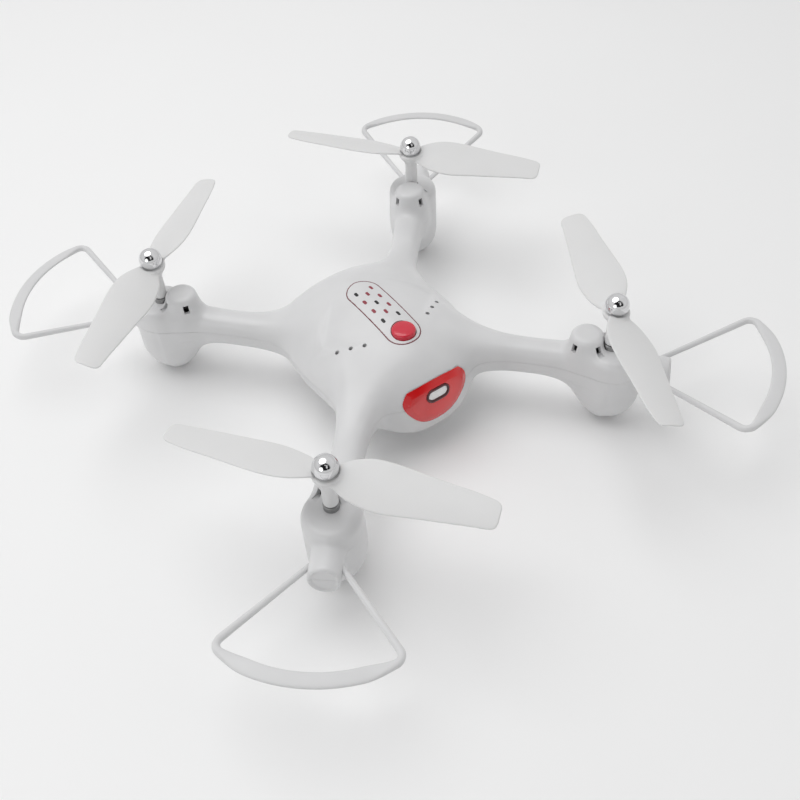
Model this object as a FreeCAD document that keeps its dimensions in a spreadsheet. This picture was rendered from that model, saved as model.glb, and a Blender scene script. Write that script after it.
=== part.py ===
import FreeCAD, Part
import math
import os
import re
import Sketcher
from FreeCAD import Placement, Rotation, Vector

# Quadcopter drone, about 230 x 241 x 58 mm over the propeller guards.
# +Z is up, the camera looks along -Y, and the drone's own left side is +X.
# The origin is on the floor, under the middle of the four feet.

# ---------------------------------------------------------------- driving dimensions (mm, degrees)
SIZES = [
    ("motor_x", 60.0, "half the spacing of the propeller shafts, across"),
    ("motor_y", 62.5, "half the spacing of the propeller shafts, front to back"),
    ("pod_yaw", 49.4, "direction of a pod's outer side, from the X axis"),
    ("wall", 1.4, "shell wall"),
    ("split_z", 24.9, "parting plane of the two shells, also the guard socket's axis"),
    ("pod_radius", 10.15, "gearbox pod"),
    ("pod_shift", 1.4, "middle of a pod and its foot, outward of the shaft"),
    ("pod_bottom", 0.6, "underside of a pod"),
    ("deck_z", 33.6, "top deck of a pod"),
    ("gear_centres", 8.75, "propeller shaft to motor shaft"),
    ("dome_radius", 5.7, "motor dome, at its top"),
    ("dome_flare", 1.0, "how much wider the dome is at the pod's deck"),
    ("stem_clearance", 3.0, "round space that the dome leaves for the propeller's hub"),
    ("dome_top", 39.0, "top of the motor dome"),
    ("socket_radius", 5.6, "guard socket"),
    ("socket_reach", 23.1, "shaft to the socket's end face"),
    ("gear_module", 0.25, "module of the gear pair"),
    ("gear_teeth", 58, "drive gear"),
    ("pinion_teeth", 12, "motor pinion"),
    ("gear_z", 16.5, "underside of the drive gear"),
    ("gear_width", 3.0, "face width of the drive gear"),
    ("backlash", 0.07, "play between the teeth, at the pitch circle"),
    ("shaft_radius", 0.75, "propeller shaft"),
    ("shaft_low", 9.6, "lower end of the propeller shaft"),
    ("shaft_high", 49.5, "upper end of the propeller shaft"),
    ("running_gap", 0.05, "radial play of a running fit"),
    ("seat_gap", 0.01, "radial play of a pressed seat"),
    ("bush_radius", 2.0, "shaft bush, stem"),
    ("bush_flange", 2.75, "shaft bush, collar"),
    ("bush_rim", 2.2, "shaft bush, collar height"),
    ("bush_length", 5.5, "shaft bush, stem length"),
    ("lower_seat", 13.5, "seat of the lower bush"),
    ("can_radius", 3.5, "motor can"),
    ("can_low", 21.7, "underside of the motor can"),
    ("can_length", 15.9, "motor can"),
    ("motor_shaft_radius", 0.4, "motor shaft"),
    ("pinion_z", 16.0, "underside of the pinion"),
    ("pinion_width", 4.0, "pinion"),
    ("hub_low", 36.0, "lower end of the propeller hub"),
    ("hub_radius", 2.55, "propeller hub, stem"),
    ("hub_bowl", 4.9, "propeller hub, at the bowl's rim"),
    ("hub_rim", 51.2, "top face of the propeller hub"),
    ("blade_z", 51.9, "height of the blade's pitch line"),
    ("blade_tip", 55.4, "tip radius of the propeller"),
    ("blade_thick", 1.1, "blade thickness near the hub"),
    ("ball_radius", 4.3, "chrome spinner cap"),
    ("ball_z", 53.9, "centre of the spinner cap"),
    ("foot_radius", 3.2, "foot pad"),
    ("foot_height", 1.6, "foot pad"),
    ("guard_rod", 1.1, "radius of the guard's rod"),
    ("guard_screw_out", 19.6, "guard screw, outward of the shaft"),
    ("guard_reach", 59.5, "shaft to the middle of the guard's outer bow"),
    ("guard_corner", 3.5, "radius of the guard's corners"),
    ("guard_corner_out", 49.0, "centre of a guard corner, outward of the shaft"),
    ("guard_corner_side", 23.8, "centre of a guard corner, to the side"),
    ("guard_root_out", 16.0, "inner end of a guard leg, outward of the shaft"),
    ("guard_root_side", 4.4, "inner end of a guard leg, to the side"),
    ("band_width", 5.0, "flat band on the guard's bow"),
    ("band_thick", 1.3, "flat band on the guard's bow"),
    ("band_tilt", 22.0, "fall of the band towards its outer edge"),
    ("button_radius", 4.45, "power button"),
    ("button_y", -17.5, "power button"),
    ("panel_front_y", -16.7, "front end of the panel's outline, middle of its round"),
    ("button_top", 43.9, "top of the power button"),
    ("button_flange", 5.2, "flange that keeps the button in"),
    ("button_gap", 0.25, "gap round the button"),
    ("panel_radius", 6.8, "outline of the top panel, half its width"),
    ("panel_rear_y", 8.4, "rear end of the top panel"),
    ("trim_width", 0.5, "border of the top panel"),
    ("inlay_depth", 0.7, "depth of the trim and marks in the shell"),
    ("board_z", 30.0, "underside of the flight control board"),
    ("board_thick", 1.2, "flight control board"),
    ("board_long", 40.0, "flight control board"),
    ("board_wide", 34.0, "flight control board"),
    ("board_y", -4.0, "middle of the flight control board"),
    ("switch_height", 2.8, "button switch"),
    ("battery_long", 42.0, "battery pack"),
    ("battery_wide", 24.0, "battery pack"),
    ("battery_high", 8.0, "battery pack"),
    ("battery_front", -12.0, "front end of the battery pack"),
    ("battery_low", 18.0, "underside of the battery pack"),
    ("door_left", -14.0, "hinge axis of the battery door"),
    ("door_hinge_y", 32.7, "hinge axis of the battery door"),
    ("door_right", 14.0, "free edge of the battery door"),
    ("door_low", 18.0, "lower edge of the battery door's opening"),
    ("door_high", 28.4, "upper edge of the battery door's opening"),
    ("door_barrel", 1.3, "hinge barrel of the battery door"),
    ("door_thick", 1.6, "battery door"),
    ("rear_y", 34.0, "rear face of the body"),
    ("hinge_pin", 0.6, "hinge pin of the battery door"),
    ("screw_x", 20.0, "shell screws, across"),
    ("screw_front", -14.0, "front shell screws"),
    ("screw_rear", 16.0, "rear shell screws"),
    ("board_screw_x", 14.5, "board screws, across"),
    ("board_screw_front", -20.0, "front board screws"),
    ("board_screw_rear", 12.0, "rear board screws"),
    ("lens_z", 27.1, "middle of the camera window"),
    ("lens_half", 4.2, "camera window, half its width"),
    ("lens_radius", 1.9, "camera window, radius of its ends"),
    ("bezel_width", 0.8, "dark rim of the camera window"),
    ("visor_top", 33.0, "upper edge of the visor"),
    ("visor_bottom", 13.6, "lowest point of the visor"),
    ("visor_half", 14.1, "half the visor's width"),
    ("visor_crown", 1.5, "drop of the visor's upper edge towards its corners"),
    ("post_radius", 3.2, "posts of the bushes and shell screws"),
    ("button_low", 37.2, "underside of the button's flange"),
]

document = FreeCAD.newDocument("quadcopter")
sheet = document.addObject("Spreadsheet::Sheet", "Sizes")
for row, (alias, number, note) in enumerate(SIZES, start=1):
    sheet.set(f"A{row}", note)
    sheet.set(f"B{row}", str(number))
    sheet.setAlias(f"B{row}", alias)
document.recompute()

NAME = re.compile(r"\b([a-z][a-z_]+)\b")
PODS = {"fl": (1, -1), "fr": (-1, -1), "rl": (1, 1), "rr": (-1, 1)}
REST_ANGLES = {"fl": 62.8, "fr": -52.3, "rl": -51.0, "rr": 38.2}
HANDS = {"fl": -1, "fr": 1, "rl": 1, "rr": -1}    # 1 turns anticlockwise, seen from above
# Upward tilt of each guard: the thin rods give a little, so no two stand alike.
GUARD_RISE = {"fl": 10.6, "fr": 8.8, "rl": 10.0, "rr": 8.4}
subparts = []


def size(alias):
    """A driving dimension, as a number."""
    return float(sheet.get(alias))


def bound(text):
    """An expression on the sheet's aliases, as the document's objects read it."""
    return NAME.sub(r"Sizes.\1", text)


def value(text):
    """The present value of such an expression."""
    return float(sheet.evalExpression(bound(text)))


def at(x=0.0, y=0.0, z=0.0, axis=Vector(0, 0, 1), angle=0.0):
    return Placement(Vector(x, y, z), Rotation(axis, angle))


def subpart(piece, node):
    """Names a finished sub-part."""
    piece.Label = node
    subparts.append(piece)
    return piece


# ---------------------------------------------------------------- PartDesign helpers
def origin_plane(body, role):
    return next(item for item in body.Origin.OriginFeatures if item.Role == role)


def new_sketch(body, name, role):
    sketch = body.newObject("Sketcher::SketchObject", name)
    sketch.AttachmentSupport = [(origin_plane(body, role), "")]
    sketch.MapMode = "FlatFace"
    return sketch


def outline(sketch, corners):
    """A closed outline of straight lines whose corners are bound to expressions."""
    points = [Vector(value(across), value(up), 0) for across, up in corners]
    count = len(points)
    for index in range(count):
        sketch.addGeometry(Part.LineSegment(points[index], points[(index + 1) % count]), False)
    for index in range(count):
        sketch.addConstraint(Sketcher.Constraint("Coincident", index, 2, (index + 1) % count, 1))
    for index, corner in enumerate(corners):
        for kind, text, axis in (("DistanceX", corner[0], -2), ("DistanceY", corner[1], -1)):
            if abs(value(text)) < 1e-9:
                sketch.addConstraint(Sketcher.Constraint("PointOnObject", index, 1, axis))
                continue
            rule = Sketcher.Constraint(kind, -1, 1, index, 1, value(text))
            place = sketch.addConstraint(rule)
            sketch.setExpression(f"Constraints[{place}]", bound(text))


def round_sketch(body, name, role, radius, across="0"):
    """A circle, its middle on the sketch's horizontal axis."""
    sketch = new_sketch(body, name, role)
    circle = Part.Circle(Vector(value(across), 0, 0), Vector(0, 0, 1), value(radius))
    sketch.addGeometry(circle, False)
    place = sketch.addConstraint(Sketcher.Constraint("Radius", 0, value(radius)))
    sketch.setExpression(f"Constraints[{place}]", bound(radius))
    sketch.addConstraint(Sketcher.Constraint("PointOnObject", 0, 3, -1))
    if across == "0":
        sketch.addConstraint(Sketcher.Constraint("PointOnObject", 0, 3, -2))
    else:
        rule = Sketcher.Constraint("DistanceX", -1, 1, 0, 3, value(across))
        place = sketch.addConstraint(rule)
        sketch.setExpression(f"Constraints[{place}]", bound(across))
    return sketch


def turned(name, corners, place):
    """A body of revolution about its own Z axis; corners are (radius, height) expressions."""
    body = document.addObject("PartDesign::Body", name)
    sketch = new_sketch(body, name + "_profile", "XZ_Plane")
    outline(sketch, corners)
    turn = body.newObject("PartDesign::Revolution", name + "_turn")
    turn.Profile = sketch
    turn.ReferenceAxis = (sketch, ["V_Axis"])
    turn.Angle = 360
    sketch.Visibility = False
    body.Placement = place
    return body


# ---------------------------------------------------------------- Part helpers
def block(name, long, wide, high, place):
    """A box whose lengths are expressions."""
    piece = document.addObject("Part::Box", name)
    for key, text in (("Length", long), ("Width", wide), ("Height", high)):
        piece.setExpression(key, bound(text))
    piece.Placement = place
    return piece


def drum(name, radius, height, place):
    """A cylinder whose sizes are expressions."""
    piece = document.addObject("Part::Cylinder", name)
    piece.setExpression("Radius", bound(radius))
    piece.setExpression("Height", bound(height))
    piece.Placement = place
    return piece


def group(name, pieces):
    compound = document.addObject("Part::Compound", name)
    compound.Links = pieces
    return compound


def cut(name, base, tool):
    piece = document.addObject("Part::Cut", name)
    piece.Base = base
    piece.Tool = tool
    return piece


def shaped(name, shape, place=None):
    """A piece whose shape is worked out below rather than sketched."""
    piece = document.addObject("Part::Feature", name)
    piece.Shape = shape
    if place is not None:
        piece.Placement = place
    return piece


# ---------------------------------------------------------------- places round a pod
def shaft_at(pod):
    side, end = PODS[pod]
    return Vector(side * size("motor_x"), end * size("motor_y"), 0)


def outward(pod):
    """The direction of a pod's outer side, where its guard is."""
    side, end = PODS[pod]
    yaw = math.radians(size("pod_yaw"))
    return Vector(side * math.cos(yaw), end * math.sin(yaw), 0)


def outward_angle(pod):
    direction = outward(pod)
    return math.degrees(math.atan2(direction.y, direction.x))


def motor_at(pod):
    return shaft_at(pod) - outward(pod) * size("gear_centres")


def pod_at(pod):
    return shaft_at(pod) + outward(pod) * size("pod_shift")


# ---------------------------------------------------------------- the shell's outer form
# Body sections: y, half width, top, widest height, bottom, roundness of the upper half.
BODY = [
    (-38.6, 6.5, 25.4, 20.5, 15.5, 2.0),
    (-37.7, 11.0, 28.2, 20.8, 11.4, 2.0),
    (-36.0, 15.6, 32.4, 21.5, 8.2, 2.0),
    (-33.0, 19.6, 36.0, 22.5, 6.8, 1.9),
    (-28.0, 24.2, 39.4, 23.6, 6.2, 1.7),
    (-20.0, 29.2, 42.4, 24.3, 6.3, 1.5),
    (-8.0, 32.6, 43.8, 24.9, 7.0, 1.45),
    (4.0, 33.4, 43.9, 24.9, 8.0, 1.45),
    (16.0, 31.4, 42.6, 24.9, 9.6, 1.5),
    (26.0, 26.3, 39.2, 24.9, 12.2, 1.8),
    (31.5, 22.0, 36.0, 24.9, 14.4, 2.1),
    (34.0, 20.0, 33.6, 24.9, 15.8, 2.3),
]
# Arm sections: distance from the shaft towards the body, half width, top, bottom,
# and how far the section's middle lies off the arm's line, towards the X axis.
ARM = [
    (2.0, 8.6, 31.0, 2.4, 0.1),
    (6.0, 7.9, 31.2, 4.8, 0.4),
    (10.0, 7.1, 31.4, 9.0, 0.7),
    (14.5, 6.4, 31.2, 13.9, 1.0),
    (20.0, 6.0, 30.8, 16.5, 1.3),
    (30.0, 5.8, 30.6, 17.1, 1.8),
    (39.0, 6.3, 31.0, 16.9, 2.1),
    (47.0, 8.2, 32.6, 16.1, 1.9),
    (56.0, 12.6, 35.0, 14.6, 1.3),
    (66.0, 17.8, 37.4, 12.8, 0.6),
]
ARM_ROUNDNESS = 2.5
BELLY_ROUNDNESS = 2.4
RING_POINTS = 20
ARM_FOOT = 2.5        # the arms' lines meet the Y axis this far from the middle
POD_FLAT = 3.8        # flat underside of a pod, round its foot
POD_SHOULDER = 13.0   # below this a pod rounds in
POD_STRETCH = 1.1     # a pod is longer along its outward line than across it
DOME_EDGE = 1.2
SOCKET_TILT = 7.0     # a guard socket's end face looks a little upwards


def signed_power(number, power):
    return math.copysign(abs(number) ** power, number)


def ring(middle, across, half_width, rise, fall, upper, lower):
    """A closed smooth section in an upright plane, rounder or squarer by its powers."""
    points = []
    for index in range(RING_POINTS):
        turn = 2 * math.pi * index / RING_POINTS
        high = math.sin(turn) >= 0
        power = 2 / (upper if high else lower)
        sideways = half_width * signed_power(math.cos(turn), power)
        height = (rise if high else fall) * signed_power(math.sin(turn), power)
        points.append(middle + across * sideways + Vector(0, 0, height))
    curve = Part.BSplineCurve()
    curve.interpolate(points, PeriodicFlag=True)
    return Part.Wire([curve.toShape()])


def body_form(inset):
    rings = []
    for index, (y, half, top, mid, bottom, upper) in enumerate(BODY):
        if index == 0:
            y = y + inset
        if index == len(BODY) - 1:
            y = y - inset
        middle = Vector(0, y, mid)
        rise = top - mid - inset
        fall = mid - bottom - inset
        rings.append(ring(middle, Vector(1, 0, 0), half - inset, rise, fall, upper, BELLY_ROUNDNESS))
    return Part.makeLoft(rings, True, False)


def arm_form(pod, inset):
    side, end = PODS[pod]
    shaft = shaft_at(pod)
    foot = Vector(0, end * ARM_FOOT, 0)
    inward = (foot - shaft).normalize()
    across = Vector(-inward.y, inward.x, 0)
    towards = across * (-end if across.y > 0 else end)
    rings = []
    for distance, half, top, bottom, lean in ARM:
        mid = (top + bottom) / 2
        middle = shaft + inward * distance + towards * lean + Vector(0, 0, mid)
        reach = (top - bottom) / 2 - inset
        rings.append(ring(middle, across, half - inset, reach, reach, ARM_ROUNDNESS, ARM_ROUNDNESS))
    return Part.makeLoft(rings, True, False)


def spun(edges, place):
    """A solid of revolution about Z from an open profile whose ends are on the axis."""
    first = edges[0].valueAt(edges[0].FirstParameter)
    last = edges[-1].valueAt(edges[-1].LastParameter)
    closing = Part.makeLine(last, first)
    face = Part.Face(Part.Wire(edges + [closing]))
    solid = face.revolve(Vector(0, 0, 0), Vector(0, 0, 1), 360)
    solid.Placement = place
    return solid


def line(start, end):
    return Part.makeLine(Vector(start[0], 0, start[1]), Vector(end[0], 0, end[1]))


def bend(start, middle, end):
    points = [Vector(r, 0, z) for r, z in (start, middle, end)]
    return Part.Arc(*points).toShape()


def pod_form(pod, inset):
    """The gearbox pod: flat under the foot, round below, upright wall, rounded deck edge."""
    radius = size("pod_radius") - inset
    low = size("pod_bottom") + inset
    deck = size("deck_z") - inset
    edge = 3.0 - inset / 2
    corner = edge * (1 - math.sqrt(0.5))
    edges = [
        line((0, low), (POD_FLAT, low)),
        bend((POD_FLAT, low), (radius - 2.3, low + 4.6), (radius, POD_SHOULDER)),
        line((radius, POD_SHOULDER), (radius, deck - edge)),
        bend((radius, deck - edge), (radius - corner, deck - corner), (radius - edge, deck)),
        line((radius - edge, deck), (0, deck)),
    ]
    form = spun(edges, Placement(Vector(0, 0, 0), Rotation()))
    stretch = FreeCAD.Matrix()
    stretch.scale(POD_STRETCH, 1, 1)
    form = form.transformGeometry(stretch)
    form.Placement = Placement(pod_at(pod), Rotation(Vector(0, 0, 1), outward_angle(pod)))
    return form


def dome_form(pod, radius, flare, top, edge):
    """The upright motor dome, a little wider below, with a rounded top edge."""
    low = size("split_z") - 1.0
    corner = edge * (1 - math.sqrt(0.5))
    edges = [
        line((0, low), (radius + flare, low)),
        line((radius + flare, low), (radius + flare, size("deck_z") - 1.0)),
        line((radius + flare, size("deck_z") - 1.0), (radius, top - edge)),
        bend((radius, top - edge), (radius - corner, top - corner), (radius - edge, top)),
        line((radius - edge, top), (0, top)),
    ]
    return spun(edges, Placement(motor_at(pod), Rotation()))


def socket_form(pod):
    """The guard socket: a short level drum on the pod's outer side."""
    radius = size("socket_radius")
    reach = size("socket_reach")
    edge = 1.0
    corner = edge * (1 - math.sqrt(0.5))
    edges = [
        line((0, 0), (radius, 0)),
        line((radius, 0), (radius, reach - edge)),
        bend((radius, reach - edge), (radius - corner, reach - corner), (radius - edge, reach)),
        line((radius - edge, reach), (0, reach)),
    ]
    drum_form = spun(edges, Placement(Vector(0, 0, 0), Rotation(Vector(0, 0, 1), Vector(1, 0, 0))))
    slope = math.tan(math.radians(SOCKET_TILT))
    beyond = 2 * reach
    corners = [(reach, -radius), (beyond, -radius), (beyond, radius), (reach - 2 * radius * slope, radius)]
    points = [Vector(x, -radius, z) for x, z in corners]
    wedge = Part.Face(Part.makePolygon(points + points[:1])).extrude(Vector(0, 2 * radius, 0))
    drum_form = drum_form.cut(wedge)
    centre = shaft_at(pod) + Vector(0, 0, size("split_z"))
    drum_form.Placement = Placement(centre, Rotation(Vector(0, 0, 1), outward_angle(pod)))
    return drum_form


def upright(x, y, low, high, radius):
    return Part.makeCylinder(radius, high - low, Vector(x, y, low))


def brick(x_range, y_range, z_range):
    corner = Vector(x_range[0], y_range[0], z_range[0])
    far = Vector(x_range[1], y_range[1], z_range[1])
    return Part.makeBox(far.x - corner.x, far.y - corner.y, far.z - corner.z, corner)


def capsule_prism(radius, front, rear, low, high):
    """An upright prism with two round ends, on the Y axis."""
    centre = brick((-radius, radius), (front, rear), (low, high))
    ends = [upright(0, y, low, high, radius) for y in (front, rear)]
    return centre.fuse(ends).removeSplitter()


def lens_prism(half, radius, near, far):
    """A level prism with two round ends, along Y, for the camera window."""
    middle = size("lens_z")
    reach = half - radius
    centre = brick((-reach, reach), (near, far), (middle - radius, middle + radius))
    ends = []
    for x in (-reach, reach):
        ends.append(Part.makeCylinder(radius, far - near, Vector(x, near, middle), Vector(0, 1, 0)))
    return centre.fuse(ends).removeSplitter()


def visor_prism():
    """A level prism along Y with the visor's D-shaped outline: a nearly straight top, a round bottom."""
    near = -45.0
    depth = 17.0
    top = size("visor_top")
    corner = top - size("visor_crown")
    half = size("visor_half")
    cheek = top - 5.0
    bottom = size("visor_bottom")
    points = [(half - 2.5, corner), (half, cheek), (half - 2.6, cheek - 7.6), (half - 8.0, bottom + 1.4)]
    right = [Vector(x, near, z) for x, z in points]
    left = [Vector(-x, near, z) for x, z in reversed(points)]
    round_edge = Part.BSplineCurve()
    round_edge.interpolate(right + [Vector(0, near, bottom)] + left)
    upper_edge = Part.Arc(left[-1], Vector(0, near, top), right[0]).toShape()
    face = Part.Face(Part.Wire([round_edge.toShape(), upper_edge]))
    return face.extrude(Vector(0, depth, 0))


# ---------------------------------------------------------------- shells, visor, inlays
def whole_form(inset):
    """Body, arms and pods in one; the inner form leaves the shell's wall."""
    forms = [body_form(inset)]
    for pod in PODS:
        forms.append(arm_form(pod, inset))
        forms.append(pod_form(pod, inset))
        if inset > 0:
            clear = size("can_radius") + 0.1
            forms.append(dome_form(pod, clear, 0.01, size("dome_top") - DOME_EDGE, 0.2))
        else:
            dome = dome_form(pod, size("dome_radius"), size("dome_flare"), size("dome_top"), DOME_EDGE)
            shaft = shaft_at(pod)
            room = upright(shaft.x, shaft.y, size("deck_z"), 45, size("stem_clearance"))
            forms.append(dome.cut(room))
            forms.append(socket_form(pod))
    return forms[0].fuse(forms[1:])


def local(pod, out, side, z):
    """A point from its place along and across a pod's outward direction."""
    along = outward(pod)
    across = Vector(-along.y, along.x, 0)
    return shaft_at(pod) + along * out + across * side + Vector(0, 0, z)


def guard_frame(pod):
    """The guard's own frame: the middle of its bow's arc, tilted up and turned outward."""
    out = size("guard_root_out")
    rise = Rotation(Vector(0, 1, 0), -GUARD_RISE[pod])
    turn = Rotation(Vector(0, 0, 1), outward_angle(pod))
    start = Placement(local(pod, out, 0, size("split_z")), turn.multiply(rise))
    return start.multiply(Placement(Vector(bow_centre() - out, 0, 0), Rotation()))


def bow_centre():
    """Where the bow's arc is centred, outward of the shaft: it runs smoothly into the corners."""
    reach = size("guard_reach") - size("guard_corner")
    out = size("guard_corner_out")
    side = size("guard_corner_side")
    return (reach ** 2 - out ** 2 - side ** 2) / (2 * (reach - out))


def guard_path():
    """Half the guard's line in its own plane: bow, corner and leg, as edges."""
    centre = bow_centre()
    bow = size("guard_reach") - centre
    corner = Vector(size("guard_corner_out") - centre, size("guard_corner_side"), 0)
    radius = size("guard_corner")
    root = Vector(size("guard_root_out") - centre, size("guard_root_side"), 0)
    spread = math.atan2(corner.y, corner.x)
    join = Vector(bow * math.cos(spread), bow * math.sin(spread), 0)
    half_way = Vector(bow * math.cos(spread / 2), bow * math.sin(spread / 2), 0)
    to_root = root - corner
    bearing = math.atan2(to_root.y, to_root.x)
    swing = math.acos(radius / to_root.Length)
    leg_angle = bearing - swing
    if leg_angle < 0:
        leg_angle += 2 * math.pi
    middle_angle = (spread + leg_angle) / 2
    leg_start = corner + Vector(math.cos(leg_angle), math.sin(leg_angle), 0) * radius
    corner_middle = corner + Vector(math.cos(middle_angle), math.sin(middle_angle), 0) * radius
    return [
        Part.Arc(Vector(bow, 0, 0), half_way, join),
        Part.Arc(join, corner_middle, leg_start),
        Part.LineSegment(leg_start, root),
    ], spread


def leg_bore(pod, margin):
    """The two holes in the socket that hold a guard's legs."""
    edges, _ = guard_path()
    leg = edges[-1]
    start = leg.EndPoint
    along = (leg.StartPoint - start).normalize()
    length = 8.0
    holes = []
    for mirror in (1, -1):
        begin = Vector(start.x, mirror * start.y, 0) - Vector(along.x, mirror * along.y, 0) * margin
        direction = Vector(along.x, mirror * along.y, 0)
        radius = size("guard_rod") + margin
        hole = Part.makeCylinder(radius, length, begin, direction)
        hole.Placement = guard_frame(pod).multiply(hole.Placement)
        holes.append(hole)
    return holes


SHELL_SCREWS = [(x, y) for x in (-1, 1) for y in ("screw_front", "screw_rear")]
BOARD_SCREWS = [(x, y) for x in (-1, 1) for y in ("board_screw_front", "board_screw_rear")]
LENS_REACH = 5.0      # the camera window's prism runs from before the nose to its inner side
VENTS = [(14.0, -12.8), (18.2, -9.9), (22.4, -7.0)]
VENT_RADIUS = 0.8
INLAY_PROUD = 0.15    # the trim, marks and lens pieces stand this proud of the shell
SLOT_ANGLES = (44, 128, 232, 316)    # dome slots, from a pod's outward direction
SLOT_LOW, SLOT_HIGH = 33.2, 36.6


def mark_tools():
    """Small slots on the top panel: three staggered rows, dark and red ones."""
    left, middle, right = -3.3, 0.0, 3.3
    dark = [(left, 8.6), (left, -9.4), (middle, -0.3), (right, -9.4)]
    red = [(left, 2.8), (left, -3.2), (middle, 5.8), (middle, -6.3)]
    red += [(right, 8.6), (right, 2.6), (right, -3.4)]
    half_wide, half_long = 0.6, 1.2
    slots = []
    for places in (dark, red):
        slots.append([brick((x - half_wide, x + half_wide), (y - half_long, y + half_long), (35, 46))
                      for x, y in places])
    return slots


def build_shells():
    wall = size("wall")
    split = size("split_z")
    outer = whole_form(0.0)
    inner = whole_form(wall)
    skin = outer.cut(inner)
    body_outer = body_form(0.0)
    body_inner = body_form(wall)
    body_skin = body_outer.cut(body_inner)
    proud = body_form(-INLAY_PROUD)
    inlay = proud.cut(body_form(size("inlay_depth")))

    visor_tool = visor_prism()
    near = -42.0
    far = near + 2 * LENS_REACH
    bezel_half = size("lens_half") + size("bezel_width")
    bezel_radius = size("lens_radius") + size("bezel_width")
    rim_tool = lens_prism(bezel_half, bezel_radius, near, far)
    window_tool = lens_prism(size("lens_half"), size("lens_radius"), near, far)
    visor = body_skin.common(visor_tool).cut(rim_tool)
    lens_skin = proud.cut(body_inner)
    bezel = lens_skin.common(rim_tool.cut(window_tool))
    window = body_skin.common(window_tool)

    outline_radius = size("panel_radius")
    front = size("panel_front_y")
    rear = size("panel_rear_y")
    ring_tool = capsule_prism(outline_radius, front, rear, 35, 46)
    ring_tool = ring_tool.cut(capsule_prism(outline_radius - size("trim_width"), front, rear, 34, 47))
    trim = inlay.common(ring_tool)
    dark_tools, red_tools = mark_tools()
    dark_marks = [inlay.common(tool) for tool in dark_tools]
    red_marks = [inlay.common(tool) for tool in red_tools]

    top_adds = []
    low_adds = []
    top_cuts = [visor_tool, trim] + dark_marks + red_marks
    low_cuts = [visor_tool]
    button_hole = size("button_radius") + size("button_gap")
    top_cuts.append(upright(0, size("button_y"), 34, 48, button_hole))
    for side in (-1, 1):
        for x, y in VENTS:
            top_cuts.append(upright(side * x, y, 30, 44, VENT_RADIUS))

    # Screw posts of the body: a counterbored post below, a blind one above.
    for side, key in SHELL_SCREWS:
        x = side * size("screw_x")
        y = size(key)
        low_adds.append(upright(x, y, 6, split, size("post_radius")))
        low_cuts.append(upright(x, y, 0, 15.4, 2.1))
        low_cuts.append(upright(x, y, 15, split + 1, 1.05))
        top_adds.append(upright(x, y, split, 40, 2.4))
        top_cuts.append(upright(x, y, split - 1, 29.5, 0.96))
    # Posts that carry the board, and the tray and rails that carry the battery.
    for side, key in BOARD_SCREWS:
        x = side * size("board_screw_x")
        y = size(key)
        low_adds.append(upright(x, y, 8, size("board_z"), 2.0))
        low_cuts.append(upright(x, y, 25, size("board_z") + 1, 0.66))
    half_pack = size("battery_wide") / 2
    pack_front = size("battery_front")
    pack_rear = pack_front + size("battery_long")
    pack_low = size("battery_low")
    tray_front = pack_front - 1.4
    tray_rear = 31.0
    rail_top = 23.5
    tray_half = half_pack + 1.2
    low_adds.append(brick((-tray_half, tray_half), (tray_front, tray_rear), (pack_low - 1.2, pack_low)))
    low_adds.append(brick((-half_pack, half_pack), (tray_front, pack_front - 0.2), (6, rail_top)))
    for side in (-1, 1):
        edge = side * (half_pack + 0.7)
        low_adds.append(brick((edge - 0.5, edge + 0.5), (tray_front, tray_rear), (6, rail_top)))
    # The rib behind the nose that carries the camera module.
    low_adds.append(brick((-3, 3), (-31.0, -29.6), (7, 22.4)))
    # Lugs of the battery door's hinge pin, and the door's opening.
    hinge_x = size("door_left")
    hinge_y = size("door_hinge_y")
    lug = 2.2
    low_adds.append(upright(hinge_x, hinge_y, 15.6, size("door_low"), lug))
    top_adds.append(upright(hinge_x, hinge_y, size("door_high"), 31.0, lug))
    pin_hole = size("hinge_pin") + size("seat_gap")
    for cuts in (top_cuts, low_cuts):
        cuts.append(upright(hinge_x, hinge_y, 16.6, 30.0, pin_hole))
        opening = brick((hinge_x - size("door_barrel") - 0.3, size("door_right") + 0.3),
                        (pack_rear + 0.6, size("rear_y") + 2), (size("door_low"), size("door_high")))
        cuts.append(opening)

    for pod in PODS:
        shaft = shaft_at(pod)
        foot = pod_at(pod)
        # Bush posts: one on the pod's floor, one under its deck.
        low_adds.append(upright(shaft.x, shaft.y, 1.0, size("lower_seat"), size("post_radius")))
        top_adds.append(upright(shaft.x, shaft.y, 27.0, size("deck_z") - 0.5, size("post_radius")))
        stem = size("bush_radius") + size("seat_gap")
        length = size("bush_length")
        low_cuts.append(upright(shaft.x, shaft.y, size("lower_seat") - length, 30, stem))
        top_cuts.append(upright(shaft.x, shaft.y, 26, size("deck_z") + 1, stem))
        foot_seat = size("foot_radius") + size("seat_gap")
        low_cuts.append(upright(foot.x, foot.y, 0, size("foot_height"), foot_seat))
        # Vent slots in the dome's wall, one to each quarter.
        motor = motor_at(pod)
        for angle in SLOT_ANGLES:
            slot = brick((3.0, 8.0), (-1.05, 1.05), (SLOT_LOW, SLOT_HIGH))
            slot.Placement = Placement(motor, Rotation(Vector(0, 0, 1), outward_angle(pod) + angle))
            top_cuts.append(slot)
        # The guard's two legs and its screw.
        for cuts in (top_cuts, low_cuts):
            cuts.extend(leg_bore(pod, size("seat_gap")))
        screw = local(pod, size("guard_screw_out"), 0, 0)
        low_cuts.append(upright(screw.x, screw.y, 15, 21.6, 1.7))
        low_cuts.append(upright(screw.x, screw.y, 21, 26, 0.76))
        top_cuts.append(upright(screw.x, screw.y, 24, 28.01, 0.71))

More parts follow.
